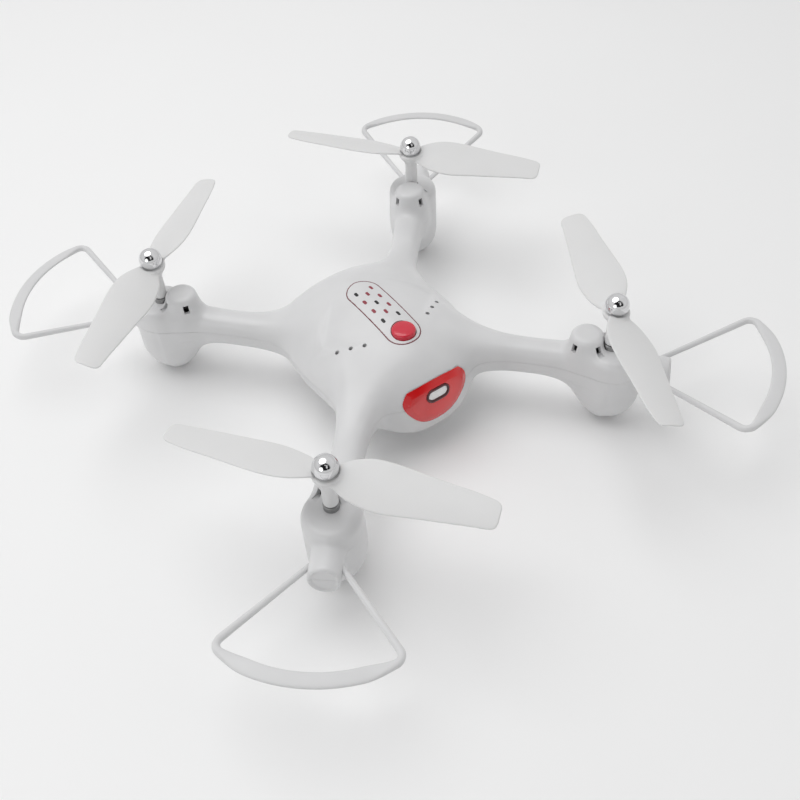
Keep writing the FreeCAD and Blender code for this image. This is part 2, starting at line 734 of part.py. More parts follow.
    far_box = 200.0
    lower_half = brick((-far_box, far_box), (-far_box, far_box), (-10, split))
    upper_half = brick((-far_box, far_box), (-far_box, far_box), (split, 60))
    bottom = skin.common(lower_half)
    top = skin.common(upper_half)
    bottom = bottom.fuse(outer.common(Part.makeCompound(low_adds))).cut(low_cuts)
    top = top.fuse(outer.common(Part.makeCompound(top_adds))).cut(top_cuts)
    subpart(shaped("bottom_shell", largest(bottom)), "bottom_shell")
    subpart(shaped("top_shell", largest(top)), "top_shell")
    subpart(shaped("visor", largest(visor)), "visor")
    subpart(shaped("camera_bezel", largest(bezel)), "camera_bezel")
    subpart(shaped("camera_window", largest(window)), "camera_window")
    subpart(shaped("panel_trim", largest(trim)), "panel_trim")
    for name, marks in (("panel_marks_dark", dark_marks), ("panel_marks_red", red_marks)):
        subpart(shaped(name, Part.makeCompound([largest(mark) for mark in marks])), name)


def largest(shape):
    """The one solid that matters, without stray crumbs."""
    return max(shape.Solids, key=lambda solid: solid.Volume)


# ---------------------------------------------------------------- gears
FLANK_STEPS = 4
ADDENDUM = 0.9        # tooth heights over and under the pitch circle, in modules
DEDENDUM = 1.2
PRESSURE_ANGLE = math.radians(20)


def gear_shape(teeth, width, bore):
    """A spur gear with involute flanks; its first tooth points along +X."""
    module = size("gear_module")
    pitch = module * teeth / 2
    tip = pitch + ADDENDUM * module
    root = pitch - DEDENDUM * module
    base = pitch * math.cos(PRESSURE_ANGLE)
    involute_at_pitch = math.tan(PRESSURE_ANGLE) - PRESSURE_ANGLE
    half_tooth = math.pi / (2 * teeth) - size("backlash") / (2 * pitch)
    start = max(base, root)
    right = []
    for step in range(FLANK_STEPS):
        radius = start + (tip - start) * step / (FLANK_STEPS - 1)
        slope = math.acos(min(1.0, base / radius))
        angle = half_tooth + involute_at_pitch - (math.tan(slope) - slope)
        right.append((radius, angle))
    half = [(root, right[0][1])] + right if start > root + 1e-6 else right
    points = []
    for tooth in range(teeth):
        centre = 2 * math.pi * tooth / teeth
        for radius, angle in half:
            points.append((radius, centre - angle))
        for radius, angle in reversed(half):
            points.append((radius, centre + angle))
    corners = [Vector(r * math.cos(a), r * math.sin(a), 0) for r, a in points]
    face = Part.Face(Part.makePolygon(corners + corners[:1]))
    solid = face.extrude(Vector(0, 0, width))
    if bore > 0:
        solid = solid.cut(Part.makeCylinder(bore, width + 2, Vector(0, 0, -1)))
    return solid


def build_gears(pod):
    inboard = outward_angle(pod) + 180
    width = size("gear_width")
    bore = size("shaft_radius") + size("seat_gap")
    wheel = gear_shape(int(size("gear_teeth")), width, bore)
    # A thin web between rim and hub, with five round windows, and a raised hub.
    rim_inside = 5.9
    boss = 2.5
    recess = 0.9
    cuts = []
    for low in (0.0, width - recess):
        cuts.append(upright(0, 0, low, low + recess, rim_inside).cut(upright(0, 0, low, low + recess, boss)))
    windows = 5
    for index in range(windows):
        turn = 2 * math.pi * index / windows
        cuts.append(upright(4.2 * math.cos(turn), 4.2 * math.sin(turn), -1, width + 1, 1.1))
    hub = upright(0, 0, width, width + 2.5, boss - 0.1).cut(upright(0, 0, width, width + 2.5, bore))
    wheel = wheel.cut(cuts).fuse(hub).removeSplitter()
    place = Placement(shaft_at(pod) + Vector(0, 0, size("gear_z")), Rotation(Vector(0, 0, 1), inboard))
    subpart(shaped("drive_gear_" + pod, wheel, place), "drive_gear_" + pod)

    teeth = int(size("pinion_teeth"))
    small = gear_shape(teeth, size("pinion_width"), 0)
    stem_top = size("can_low") + 4.0 - size("pinion_z")
    small = small.fuse(Part.makeCylinder(size("motor_shaft_radius"), stem_top)).removeSplitter()
    facing = outward_angle(pod) + 180 / teeth
    place = Placement(motor_at(pod) + Vector(0, 0, size("pinion_z")), Rotation(Vector(0, 0, 1), facing))
    subpart(shaped("motor_pinion_" + pod, small, place), "motor_pinion_" + pod)


# ---------------------------------------------------------------- propellers
# Blade stations: radius, leading edge and trailing edge off the radial line, pitch.
BLADE = [
    (2.2, 3.0, 3.3, 20.0),
    (7.0, 5.5, 6.1, 19.5),
    (12.0, 7.1, 7.7, 18.5),
    (17.0, 7.5, 8.6, 17.5),
    (27.0, 6.6, 8.4, 15.5),
    (38.0, 5.1, 7.7, 14.0),
    (47.0, 4.0, 7.1, 13.0),
    (52.6, 2.8, 6.8, 13.0),
    (54.4, 1.8, 6.3, 13.0),
    (55.2, 0.2, 5.0, 13.0),
]
BLADE_RISE = 1.2      # how much higher a blade's tip lies than its root
THINNING = 0.45       # share of its thickness that a blade loses from hub to tip
CAMBER = 0.045        # rise of a blade's middle, as a share of its width


def blade_section(radius, lead, trail, pitch, thickness, hand):
    """A thin closed lens of two arcs, its leading edge high."""
    slope = math.tan(math.radians(pitch))
    leading = Vector(radius, hand * lead, lead * slope)
    trailing = Vector(radius, -hand * trail, -trail * slope)
    middle = (leading + trailing) / 2
    camber = CAMBER * (lead + trail)
    upper = Part.Arc(leading, middle + Vector(0, 0, camber + thickness / 2), trailing)
    lower = Part.Arc(trailing, middle + Vector(0, 0, camber - thickness / 2), leading)
    return Part.Wire([upper.toShape(), lower.toShape()])


def blade(hand):
    sections = []
    for radius, lead, trail, pitch in BLADE:
        share = radius / size("blade_tip")
        thickness = size("blade_thick") * (1 - THINNING * share)
        section = blade_section(radius, lead, trail, pitch, thickness, hand)
        section.translate(Vector(0, 0, size("blade_z") - BLADE_RISE * (1 - share)))
        sections.append(section)
    return Part.makeLoft(sections, True, False)


def build_propeller(pod):
    low = size("hub_low")
    stem = size("hub_radius")
    bowl = size("hub_bowl")
    rim = size("hub_rim")
    edges = [
        line((0, low), (stem, low)),
        line((stem, low), (stem, rim - 6.0)),
        bend((stem, rim - 6.0), (stem + 0.75, rim - 3.6), (bowl - 0.3, rim - 1.4)),
        bend((bowl - 0.3, rim - 1.4), (bowl, rim - 0.7), (bowl - 0.3, rim)),
        line((bowl - 0.3, rim), (0, rim)),
    ]
    hub = spun(edges, Placement())
    one = blade(HANDS[pod])
    other = one.copy()
    other.rotate(Vector(0, 0, 0), Vector(0, 0, 1), 180)
    cap_room = Part.makeCylinder(size("ball_radius") + 0.15, 10, Vector(0, 0, rim))
    bore = Part.makeCylinder(size("shaft_radius") + size("seat_gap"), size("shaft_high") + 0.1)
    whole = hub.fuse([one.cut(cap_room), other.cut(cap_room)]).cut(bore)
    place = Placement(shaft_at(pod), Rotation(Vector(0, 0, 1), REST_ANGLES[pod]))
    subpart(shaped("propeller_" + pod, largest(whole), place), "propeller_" + pod)


def build_spinner(pod):
    """A polished ball with its underside cut flat, seated on the propeller's hub."""
    ball = document.addObject("Part::Sphere", "spinner_cap_" + pod)
    ball.setExpression("Radius", bound("ball_radius"))
    ball.setExpression("Angle1", "-asin((Sizes.ball_z - Sizes.hub_rim) / Sizes.ball_radius)")
    ball.Placement = Placement(shaft_at(pod) + Vector(0, 0, size("ball_z")), Rotation())
    subpart(ball, "spinner_cap_" + pod)


# ---------------------------------------------------------------- shaft, bushes, motor, foot
def build_drive(pod):
    shaft = shaft_at(pod)
    rod = drum("prop_shaft_" + pod, "shaft_radius", "shaft_high - shaft_low",
               at(shaft.x, shaft.y, size("shaft_low")))
    subpart(rod, "prop_shaft_" + pod)
    bore = "shaft_radius + running_gap"
    profile = [
        (bore, "0"),
        ("bush_radius", "0"),
        ("bush_radius", "bush_length"),
        ("bush_flange", "bush_length"),
        ("bush_flange", "bush_length + bush_rim - 0.3"),
        ("bush_flange - 0.3", "bush_length + bush_rim"),
        (bore, "bush_length + bush_rim"),
    ]
    bushes = []
    for level, seat in (("low", "lower_seat"), ("high", "deck_z")):
        foot = value(seat + " - bush_length")
        bushes.append(turned(f"bush_{level}_{pod}", profile, at(shaft.x, shaft.y, foot)))
    subpart(group("shaft_bushes_" + pod, bushes), "shaft_bushes_" + pod)

    motor = motor_at(pod)
    clear = "motor_shaft_radius + running_gap"
    can = [
        (clear, "-0.8"),
        ("1.2", "-0.8"),
        ("1.2", "0"),
        ("can_radius - 0.4", "0"),
        ("can_radius", "0.4"),
        ("can_radius", "can_length - 0.4"),
        ("can_radius - 0.4", "can_length"),
        ("0", "can_length"),
        ("0", "4.2"),
        (clear, "4.2"),
    ]
    subpart(turned("motor_can_" + pod, can, at(motor.x, motor.y, size("can_low"))), "motor_can_" + pod)

    foot_profile = [
        ("0", "0"),
        ("foot_radius - 0.5", "0"),
        ("foot_radius", "0.5"),
        ("foot_radius", "foot_height"),
        ("0", "foot_height"),
    ]
    foot = pod_at(pod)
    subpart(turned("foot_pad_" + pod, foot_profile, at(foot.x, foot.y)), "foot_pad_" + pod)


def build_guard(pod):
    """A round rod bent to a bow with two legs, and a flat band along the bow."""
    body = document.addObject("PartDesign::Body", "prop_guard_" + pod)
    edges, spread = guard_path()
    path = new_sketch(body, "guard_path_" + pod, "XY_Plane")
    for edge in edges:
        path.addGeometry(edge, False)
    path.addConstraint(Sketcher.Constraint("Coincident", 0, 2, 1, 1))
    path.addConstraint(Sketcher.Constraint("Coincident", 1, 2, 2, 1))
    rod = round_sketch(body, "guard_rod_" + pod, "XZ_Plane", "guard_rod", f"guard_reach - {bow_centre()}")
    pipe = body.newObject("PartDesign::AdditivePipe", "guard_pipe_" + pod)
    pipe.Profile = rod
    pipe.Spine = (path, ["Edge1", "Edge2", "Edge3"])
    band = new_sketch(body, "guard_band_" + pod, "XZ_Plane")
    tilt = math.radians(size("band_tilt") - GUARD_RISE[pod])
    along = Vector(math.cos(tilt), -math.sin(tilt), 0) * (size("band_width") / 2)
    thick = Vector(math.sin(tilt), math.cos(tilt), 0) * (size("band_thick") / 2)
    middle = Vector(size("guard_reach") - bow_centre(), 0, 0)
    near, far = middle - along, middle + along
    corners = [near - thick, far - thick, far + thick, near + thick]
    for index in range(4):
        band.addGeometry(Part.LineSegment(corners[index], corners[(index + 1) % 4]), False)
        if index == 0:
            band.addConstraint(Sketcher.Constraint("Block", 0))
        else:
            band.addConstraint(Sketcher.Constraint("Coincident", index, 1, index - 1, 2))
    sweep = body.newObject("PartDesign::Revolution", "guard_bow_" + pod)
    sweep.Profile = band
    sweep.ReferenceAxis = (band, ["V_Axis"])
    sweep.Angle = math.degrees(spread)
    sweep.Reversed = True
    mirror = body.newObject("PartDesign::Mirrored", "guard_mirror_" + pod)
    mirror.Originals = [pipe, sweep]
    mirror.MirrorPlane = (origin_plane(body, "XZ_Plane"), [""])
    body.Tip = mirror
    body.Placement = guard_frame(pod)
    subpart(body, "prop_guard_" + pod)


# ---------------------------------------------------------------- button, board, battery
def build_button():
    stem_low = value("board_z + board_thick + switch_height + 0.9")
    profile = [
        ("0", "0"),
        ("2", "0"),
        ("2", f"button_low - {stem_low}"),
        ("button_flange", f"button_low - {stem_low}"),
        ("button_flange", f"button_low + 0.8 - {stem_low}"),
        ("button_radius", f"button_low + 0.8 - {stem_low}"),
        ("button_radius", f"button_top - 0.6 - {stem_low}"),
        ("button_radius - 0.5", f"button_top - 0.1 - {stem_low}"),
        ("button_radius - 1.4", f"button_top - {stem_low}"),
        ("0", f"button_top - {stem_low}"),
    ]
    subpart(turned("power_button", profile, at(0, size("button_y"), stem_low)), "power_button")


def build_board():
    corner = at(-value("board_wide / 2"), value("board_y - board_long / 2"), size("board_z"))
    plate = block("board_plate", "board_wide", "board_long", "board_thick", corner)
    holes = []
    for index, (side, key) in enumerate(BOARD_SCREWS):
        place = at(side * size("board_screw_x"), size(key), size("board_z") - 1)
        holes.append(drum(f"board_hole_{index}", "0.9", "board_thick + 2", place))
    board = cut("flight_control_board", plate, group("board_holes", holes))
    subpart(board, "flight_control_board")

    top = value("board_z + board_thick")
    chips = [
        block("chip_main", "7", "7", "1", at(-9, 0, top)),
        block("chip_radio", "10", "8", "1.3", at(2, 3, top)),
        block("chip_gyro", "4", "4", "0.9", at(-2, -8, top)),
        block("chip_power", "3", "5", "1.1", at(8, -9, top)),
        block("chip_crystal", "3.2", "1.6", "0.7", at(-8, 9, top)),
    ]
    subpart(group("control_chips", chips), "control_chips")

    switch_base = block("switch_base", "6", "6", "switch_height - 0.8", at(-3, size("button_y") - 3, top))
    dot_low = value("board_z + board_thick + switch_height - 0.8")
    switch_dot = drum("switch_dot", "1.7", "0.8", at(0, size("button_y"), dot_low))
    switch = document.addObject("Part::Fuse", "button_switch")
    switch.Base = switch_base
    switch.Tool = switch_dot
    subpart(switch, "button_switch")

    body = document.addObject("PartDesign::Body", "battery_pack")
    sketch = new_sketch(body, "battery_face", "XZ_Plane")
    radius = 2.5
    half = value("battery_wide / 2")
    high = size("battery_high")
    left, right = radius - half, half - radius
    low, top = radius, high - radius
    for x, z, start in ((left, low, 180), (right, low, 270), (right, top, 0), (left, top, 90)):
        circle = Part.Circle(Vector(x, z, 0), Vector(0, 0, 1), radius)
        arc = Part.ArcOfCircle(circle, math.radians(start), math.radians(start + 90))
        sketch.addGeometry(arc, False)
    for index in range(4):
        following = (index + 1) % 4
        start = sketch.Geometry[index].EndPoint
        end = sketch.Geometry[following].StartPoint
        sketch.addGeometry(Part.LineSegment(start, end), False)
    for index in range(4):
        sketch.addConstraint(Sketcher.Constraint("Tangent", index, 2, index + 4, 1))
        sketch.addConstraint(Sketcher.Constraint("Tangent", index + 4, 2, (index + 1) % 4, 1))
    pad = body.newObject("PartDesign::Pad", "battery_length")
    pad.Profile = sketch
    pad.setExpression("Length", bound("battery_long"))
    pad.Reversed = True
    body.Placement = at(0, size("battery_front"), size("battery_low"))
    subpart(body, "battery_pack")

    plug_base = block("plug_base", "6", "5", "board_z - battery_low - battery_high - 0.4",
                      at(-10, 9, value("battery_low + battery_high + 0.4")))
    slot_low = value("battery_low + battery_high + 1.2")
    plug_slot = block("plug_slot", "4.4", "2", "2.2", at(-9.2, 12.5, slot_low))
    subpart(cut("battery_connector", plug_base, plug_slot), "battery_connector")


def build_camera():
    """A small board with the lens barrel in front, behind the visor's window."""
    lens_z = size("lens_z")
    plate = block("camera_plate", "9", "1", "9", at(-4.5, -31.0, lens_z - 4.5))
    barrel = drum("camera_barrel", "2.6", "3.4", at(0, -31.0, lens_z, Vector(1, 0, 0), 90))
    glass = drum("camera_front", "1.7", "0.5", at(0, -34.4, lens_z, Vector(1, 0, 0), 90))
    fuse = document.addObject("Part::MultiFuse", "camera_module")
    fuse.Shapes = [plate, barrel, glass]
    subpart(fuse, "camera_module")


def build_door():
    """The battery door: a flat plate with a hinge barrel along one upright edge."""
    low = size("door_low") + 0.2
    high = size("door_high") - 0.2
    hinge_x = size("door_left")
    hinge_y = size("door_hinge_y")
    thick = size("door_thick")
    rear = size("rear_y")
    plate = brick((hinge_x, size("door_right")), (rear - thick, rear), (low, high))
    barrel = upright(hinge_x, hinge_y, low, high, size("door_barrel"))
    right = size("door_right")
    lip = brick((right - 3.0, right - 1.0), (rear - thick - 0.9, rear - thick), (low + 3, high - 3))
    grip = Part.makeCylinder(1.4, 8, Vector(8.5, rear + 0.7, (low + high) / 2 - 4))
    hole = upright(hinge_x, hinge_y, low - 1, high + 1, size("hinge_pin") + size("running_gap"))
    door = plate.fuse([barrel, lip]).cut([hole, grip]).removeSplitter()
    subpart(shaped("battery_door", largest(door)), "battery_door")
    pin = drum("door_hinge_pin", "hinge_pin", "13.2", at(hinge_x, hinge_y, 16.7))
    subpart(pin, "door_hinge_pin")


# ---------------------------------------------------------------- screws
def screw_shape(head_radius, head_height, radius, length):
    """A pan-head screw pointing up, its cross recess in the head's underside."""
    head = Part.makeCylinder(head_radius, head_height)
    stem = Part.makeCylinder(radius, length, Vector(0, 0, head_height))
    bar = 0.4
    recess = [brick((-head_radius / 2, head_radius / 2), (-bar / 2, bar / 2), (-1, head_height / 2)),
              brick((-bar / 2, bar / 2), (-head_radius / 2, head_radius / 2), (-1, head_height / 2))]
    return head.fuse(stem).cut(recess).removeSplitter()


def build_screws():
    shell = []
    for side, key in SHELL_SCREWS:
        screw = screw_shape(1.9, 1.4, 0.95, 13.6)
        screw.translate(Vector(side * size("screw_x"), size(key), 14.0))
        shell.append(screw)
    subpart(shaped("shell_screws", Part.makeCompound(shell)), "shell_screws")
    guard = []
    for pod in PODS:
        screw = screw_shape(1.5, 0.8, 0.7, 6.3)
        screw.translate(local(pod, size("guard_screw_out"), 0, 20.8))
        guard.append(screw)
    subpart(shaped("guard_screws", Part.makeCompound(guard)), "guard_screws")
    board = []
    for side, key in BOARD_SCREWS:
        screw = screw_shape(1.5, 0.9, 0.65, 5.0)
        screw.rotate(Vector(0, 0, 0), Vector(1, 0, 0), 180)
        head_top = value("board_z + board_thick + 0.9")
        screw.translate(Vector(side * size("board_screw_x"), size(key), head_top))
        board.append(screw)
    subpart(shaped("board_screws", Part.makeCompound(board)), "board_screws")


# ---------------------------------------------------------------- assembly and export
build_shells()
for pod_name in PODS:
    build_drive(pod_name)
    build_gears(pod_name)
    build_propeller(pod_name)
    build_spinner(pod_name)
    build_guard(pod_name)
build_button()
build_board()
build_camera()
build_door()
build_screws()
document.recompute()

for item in document.Objects:
    bad = [state for state in item.State if state in ("Invalid", "Error")]
    if bad:
        raise RuntimeError(f"{item.Name} did not recompute: {item.State}")
for item in subparts:
    if item.Shape.isNull() or not item.Shape.isValid():
        raise RuntimeError(f"{item.Label} has no valid shape")

os.makedirs("parts", exist_ok=True)
for item in subparts:
    item.Shape.exportStep(f"parts/{item.Label}.step")
    print(item.Label, len(item.Shape.Solids), round(item.Shape.Volume, 1))
print(len(subparts), "sub-parts")
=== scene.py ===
import math

import bmesh
import bpy
import numpy as np
from mathutils import Matrix, Vector


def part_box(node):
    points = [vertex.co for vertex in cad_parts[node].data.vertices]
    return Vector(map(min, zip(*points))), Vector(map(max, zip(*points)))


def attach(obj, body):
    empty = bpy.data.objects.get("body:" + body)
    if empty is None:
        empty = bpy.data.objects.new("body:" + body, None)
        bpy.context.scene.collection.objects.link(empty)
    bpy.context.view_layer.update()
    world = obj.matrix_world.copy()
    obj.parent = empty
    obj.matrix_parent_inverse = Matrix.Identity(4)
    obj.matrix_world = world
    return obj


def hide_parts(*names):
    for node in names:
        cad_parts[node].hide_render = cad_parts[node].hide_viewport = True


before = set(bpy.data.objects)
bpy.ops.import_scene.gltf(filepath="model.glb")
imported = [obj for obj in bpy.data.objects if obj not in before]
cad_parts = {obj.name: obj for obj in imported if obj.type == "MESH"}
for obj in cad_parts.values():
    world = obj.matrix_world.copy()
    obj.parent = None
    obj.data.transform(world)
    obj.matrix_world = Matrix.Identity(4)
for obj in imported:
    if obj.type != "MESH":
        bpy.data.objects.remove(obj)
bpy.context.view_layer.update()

# The script thinks in millimetres and hands Blender metres.
MM = 0.001
PODS = {"fl": (1, -1), "fr": (-1, -1), "rl": (1, 1), "rr": (-1, 1)}


# ---------------------------------------------------------------- places read from the frame (mm)
def corners(node):
    low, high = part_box(node)
    return np.array(low) / MM, np.array(high) / MM


def middle(node):
    low, high = corners(node)
    return (low + high) / 2


SHAFT = {pod: middle("prop_shaft_" + pod)[:2] for pod in PODS}
FOOT = {pod: middle("foot_pad_" + pod)[:2] for pod in PODS}
MOTOR = {pod: middle("motor_can_" + pod)[:2] for pod in PODS}
OUTWARD = {pod: (SHAFT[pod] - MOTOR[pod]) / np.linalg.norm(SHAFT[pod] - MOTOR[pod]) for pod in PODS}
SHAFT_X, SHAFT_Y = SHAFT["rl"]
MOTOR_X, MOTOR_Y = MOTOR["rl"]
POD_X, POD_Y = FOOT["rl"]
OUT_X, OUT_Y = OUTWARD["rl"]
SPLIT_Z = corners("top_shell")[0][2]
HUB_LOW = corners("propeller_fl")[0][2]
BALL_LOW, BALL_HIGH = corners("spinner_cap_fl")
BALL_RADIUS = (BALL_HIGH[0] - BALL_LOW[0]) / 2
BALL_Z = BALL_HIGH[2] - BALL_RADIUS
HUB_RIM = BALL_LOW[2]
DOOR_LOW, DOOR_HIGH = corners("battery_door")
BUTTON_LOW, BUTTON_HIGH = corners("power_button")
BUTTON_Y = (BUTTON_LOW[1] + BUTTON_HIGH[1]) / 2
BUSH_TOP = corners("shaft_bushes_fl")[1][2]
COLLAR = 2.2          # height of the collar on the deck
DECK_Z = BUSH_TOP - COLLAR
REAR_Y = DOOR_HIGH[1]
FOOT_HIGH = corners("foot_pad_fl")[1][2]

# ---------------------------------------------------------------- shape values (mm)
WALL = 1.4
SEAM = 0.05           # half the gap between the two shells
POD_RADIUS = 10.15
POD_STRETCH = 1.1     # the pod is longer along its outward line than across it
POD_LOW = 0.6
POD_BOWL = (-6.36, 13.63, 16.52)    # arc of the pod's lower wall: radius and height of its middle, radius
DOME_RADIUS = 5.7
DOME_FLARE = 1.0
DOME_TOP = 39.0
STEM_ROOM = 3.0
SOCKET_RADIUS = 5.6
SOCKET_REACH = 23.1
SOCKET_TILT = 7.0     # the socket's end face looks a little upwards
SOCKET_RIM = 1.3      # width of the rim round the end face
SOCKET_DISH = 0.5     # how deep the end face is sunk
PANEL_RADIUS = 6.8
PANEL_FRONT, PANEL_REAR = -16.7, 8.4
TRIM = 0.5
LENS_Z = 27.1
VISOR_TOP = 33.0
VISOR_CORNER = 31.5
VISOR_HALF = 14.1
VISOR_LOW = 13.6
VISOR_INSET = 2.5     # how far the top edge's ends lie inside the widest place
LENS_OUTER = (5.0, 2.7)     # half length and end radius of the lens rim
LENS_INNER = (4.2, 1.9)     # the same, inside the rim
LENS_PANE = (4.18, 1.88)    # the same, of the pane in it
BUTTON_RADIUS = 4.45
BUTTON_GAP = 0.25
DOOR_GAP = 0.25
VENTS = ((14.0, -12.8), (18.2, -9.9), (22.4, -7.0))
VENT_RADIUS = 0.8
SLOT_ANGLES = (44, 128, 232, 316)   # round the motor dome, from its outward line
SLOT_LOW, SLOT_HIGH = (4.3, -1.05, 33.2), (9.0, 1.05, 36.6)
POST_RADIUS = 3.2
BUSH_BORE = 2.02
FOOT_BORE = 3.26
SHAFT_BORE = 0.78
SCREW_X = (-20.0, 20.0)
SCREW_Y = (-14.0, 16.0)
SCREW_BORE, GUARD_SCREW_BORE = 2.1, 1.7
GUARD_SCREW_OUT = 19.6
MARK_HALF, MARK_RADIUS = 0.6, 0.62

# Body sections: y, half width, top, widest height, bottom, roundness of the upper half.
BODY = np.array([
    (-38.6, 6.5, 25.4, 20.5, 15.5, 2.0),
    (-37.7, 11.0, 28.2, 20.8, 11.4, 2.0),
    (-36.0, 15.6, 32.4, 21.5, 8.2, 2.0),
    (-33.0, 19.6, 36.0, 22.5, 6.8, 1.9),
    (-28.0, 24.2, 39.4, 23.6, 6.2, 1.7),
    (-20.0, 29.2, 42.4, 24.3, 6.3, 1.5),
    (-8.0, 32.6, 43.8, 24.9, 7.0, 1.45),
    (4.0, 33.4, 43.9, 24.9, 8.0, 1.45),
    (16.0, 31.4, 42.6, 24.9, 9.6, 1.5),
    (26.0, 26.3, 39.2, 24.9, 12.2, 1.8),
    (31.5, 22.0, 36.0, 24.9, 14.4, 2.1),
    (34.0, 20.0, 33.6, 24.9, 15.8, 2.3),
])
# Arm sections: distance from the shaft towards the body, half width, top, bottom,
# and how far the section's middle lies off the arm's line, towards the X axis.
ARM = np.array([
    (2.0, 8.6, 31.0, 2.4, 0.1),
    (6.0, 7.9, 31.2, 4.8, 0.4),
    (10.0, 7.1, 31.4, 9.0, 0.7),
    (14.5, 6.4, 31.2, 13.9, 1.0),
    (20.0, 6.0, 30.8, 16.5, 1.3),
    (30.0, 5.8, 30.6, 17.1, 1.8),
    (39.0, 6.3, 31.0, 16.9, 2.1),
    (47.0, 8.2, 32.6, 16.1, 1.9),
    (56.0, 12.6, 35.0, 14.6, 1.3),
    (66.0, 17.8, 37.4, 12.8, 0.6),
])
ARM_ROUNDNESS = 2.5
ARM_FOOT = 2.5        # the arms' lines meet the Y axis this far from the middle
BELLY_ROUNDNESS = 2.4


# ---------------------------------------------------------------- distance fields (numpy, mm)
def spline(knots, heights, places):
    """A natural cubic spline through the knots."""
    count = len(knots)
    gaps = np.diff(knots)
    matrix = np.eye(count)
    load = np.zeros(count)
    for i in range(1, count - 1):
        matrix[i, i - 1:i + 2] = gaps[i - 1], 2 * (gaps[i - 1] + gaps[i]), gaps[i]
        rise_after = (heights[i + 1] - heights[i]) / gaps[i]
        rise_before = (heights[i] - heights[i - 1]) / gaps[i - 1]
        load[i] = 6 * (rise_after - rise_before)
    bends = np.linalg.solve(matrix, load)
    i = np.clip(np.searchsorted(knots, places) - 1, 0, count - 2)
    before = places - knots[i]
    after = knots[i + 1] - places
    gap = gaps[i]
    cubic = (bends[i] * after ** 3 + bends[i + 1] * before ** 3) / (6 * gap)
    lines = (heights[i] / gap - bends[i] * gap / 6) * after
    return cubic + lines + (heights[i + 1] / gap - bends[i + 1] * gap / 6) * before


class Loft:
    """A smooth tube through upright superellipse sections."""

    def __init__(self, stations, half, top, mid, bottom, power, lower_power):
        self.first, self.last = stations[0], stations[-1]
        self.places = np.linspace(self.first, self.last, 400)
        self.columns = [spline(stations, column, self.places) for column in (half, top, mid, bottom, power)]
        self.slopes = [np.gradient(column, self.places) for column in self.columns]
        self.lower_power = lower_power

    def field(self, along, side, height):
        """About the signed distance to the tube's wall, its ends not counted."""
        half, top, mid, bottom, power = [np.interp(along, self.places, c) for c in self.columns]
        half_s, top_s, mid_s, bottom_s, _ = [np.interp(along, self.places, c) for c in self.slopes]
        above = height >= mid
        reach = np.where(above, top - mid, mid - bottom)
        reach_s = np.where(above, top_s - mid_s, mid_s - bottom_s)
        power = np.where(above, power, self.lower_power)
        a = np.abs(side) / half + 1e-6
        b = np.abs(height - mid) / reach + 1e-6
        total = a ** power + b ** power
        size = total ** (1 / power)
        pull_a = size * a ** (power - 1) / total
        pull_b = size * b ** (power - 1) / total
        sign = np.where(above, 1.0, -1.0)
        slope = pull_a * a * half_s / half + pull_b * (sign * mid_s + b * reach_s) / reach
        flat = np.hypot(pull_a / half, pull_b / reach)
        # Well away from the wall, a steep end section would seem nearer than it is.
        away = np.clip((size - 1.15) / 0.45, 0, 1)
        limit = flat * (10.0 - 9.0 * away)
        steep = np.hypot(flat, np.clip(slope, -limit, limit))
        return (size - 1) / np.maximum(steep, 1e-3)


def soft_min(a, b, blend):
    """The union of two fields with a fillet."""
    near = np.maximum(blend - np.abs(a - b), 0) / blend
    return np.minimum(a, b) - near * near * blend / 4


def soft_max(a, b, blend):
    """The overlap of two fields with a rounded edge."""
    return -soft_min(-a, -b, blend)


BODY_LOFT = Loft(*BODY.T, BELLY_ROUNDNESS)
ARM_MIDDLE = (ARM[:, 2] + ARM[:, 3]) / 2
ARM_LOFT = Loft(ARM[:, 0], ARM[:, 1], ARM[:, 2], ARM_MIDDLE, ARM[:, 3], np.full(len(ARM), ARM_ROUNDNESS),
                ARM_ROUNDNESS)


def body_field(p):
    along = np.clip(p[:, 1], BODY_LOFT.first, BODY_LOFT.last)
    tube = BODY_LOFT.field(along, p[:, 0], p[:, 2])
    ends = np.maximum(BODY_LOFT.first - p[:, 1], p[:, 1] - REAR_Y)
    return soft_max(tube, ends, 2.2)


def folded(p):
    """All four corners at once: the pods mirror each other."""
    return np.abs(p[:, 0]), np.abs(p[:, 1]), p[:, 2]


def arm_field(x, y, z):
    inward = np.array([-SHAFT_X, ARM_FOOT - SHAFT_Y])
    inward = inward / np.linalg.norm(inward)
    along = (x - SHAFT_X) * inward[0] + (y - SHAFT_Y) * inward[1]
    side = (y - SHAFT_Y) * inward[0] - (x - SHAFT_X) * inward[1]
    held = np.clip(along, ARM_LOFT.first, ARM_LOFT.last)
    lean = spline(ARM[:, 0], ARM[:, 4], held)
    tube = ARM_LOFT.field(held, side - lean, z)
    return np.maximum(tube, np.maximum(ARM_LOFT.first - along, along - ARM_LOFT.last))


def pod_field(x, y, z):
    out = (x - POD_X) * OUT_X + (y - POD_Y) * OUT_Y
    side = (y - POD_Y) * OUT_X - (x - POD_X) * OUT_Y
    radius = np.hypot(out / POD_STRETCH, side)
    middle_out, middle_up, bend = POD_BOWL
    bowl = np.hypot(radius - middle_out, z - middle_up) - bend
    wall = np.where(z < middle_up, bowl, radius - POD_RADIUS)
    return soft_max(soft_max(wall, z - DECK_Z, 3.8), POD_LOW - z, 1.4)


def dome_field(x, y, z):
    radius = np.hypot(x - MOTOR_X, y - MOTOR_Y)
    flare = DOME_FLARE * np.clip((DOME_TOP - z) / (DOME_TOP - DECK_Z), 0, 1.6)
    wall = radius - DOME_RADIUS - flare
    dome = soft_max(wall, z - DOME_TOP, 2.0)
    return np.maximum(dome, SPLIT_Z - 4 - z)


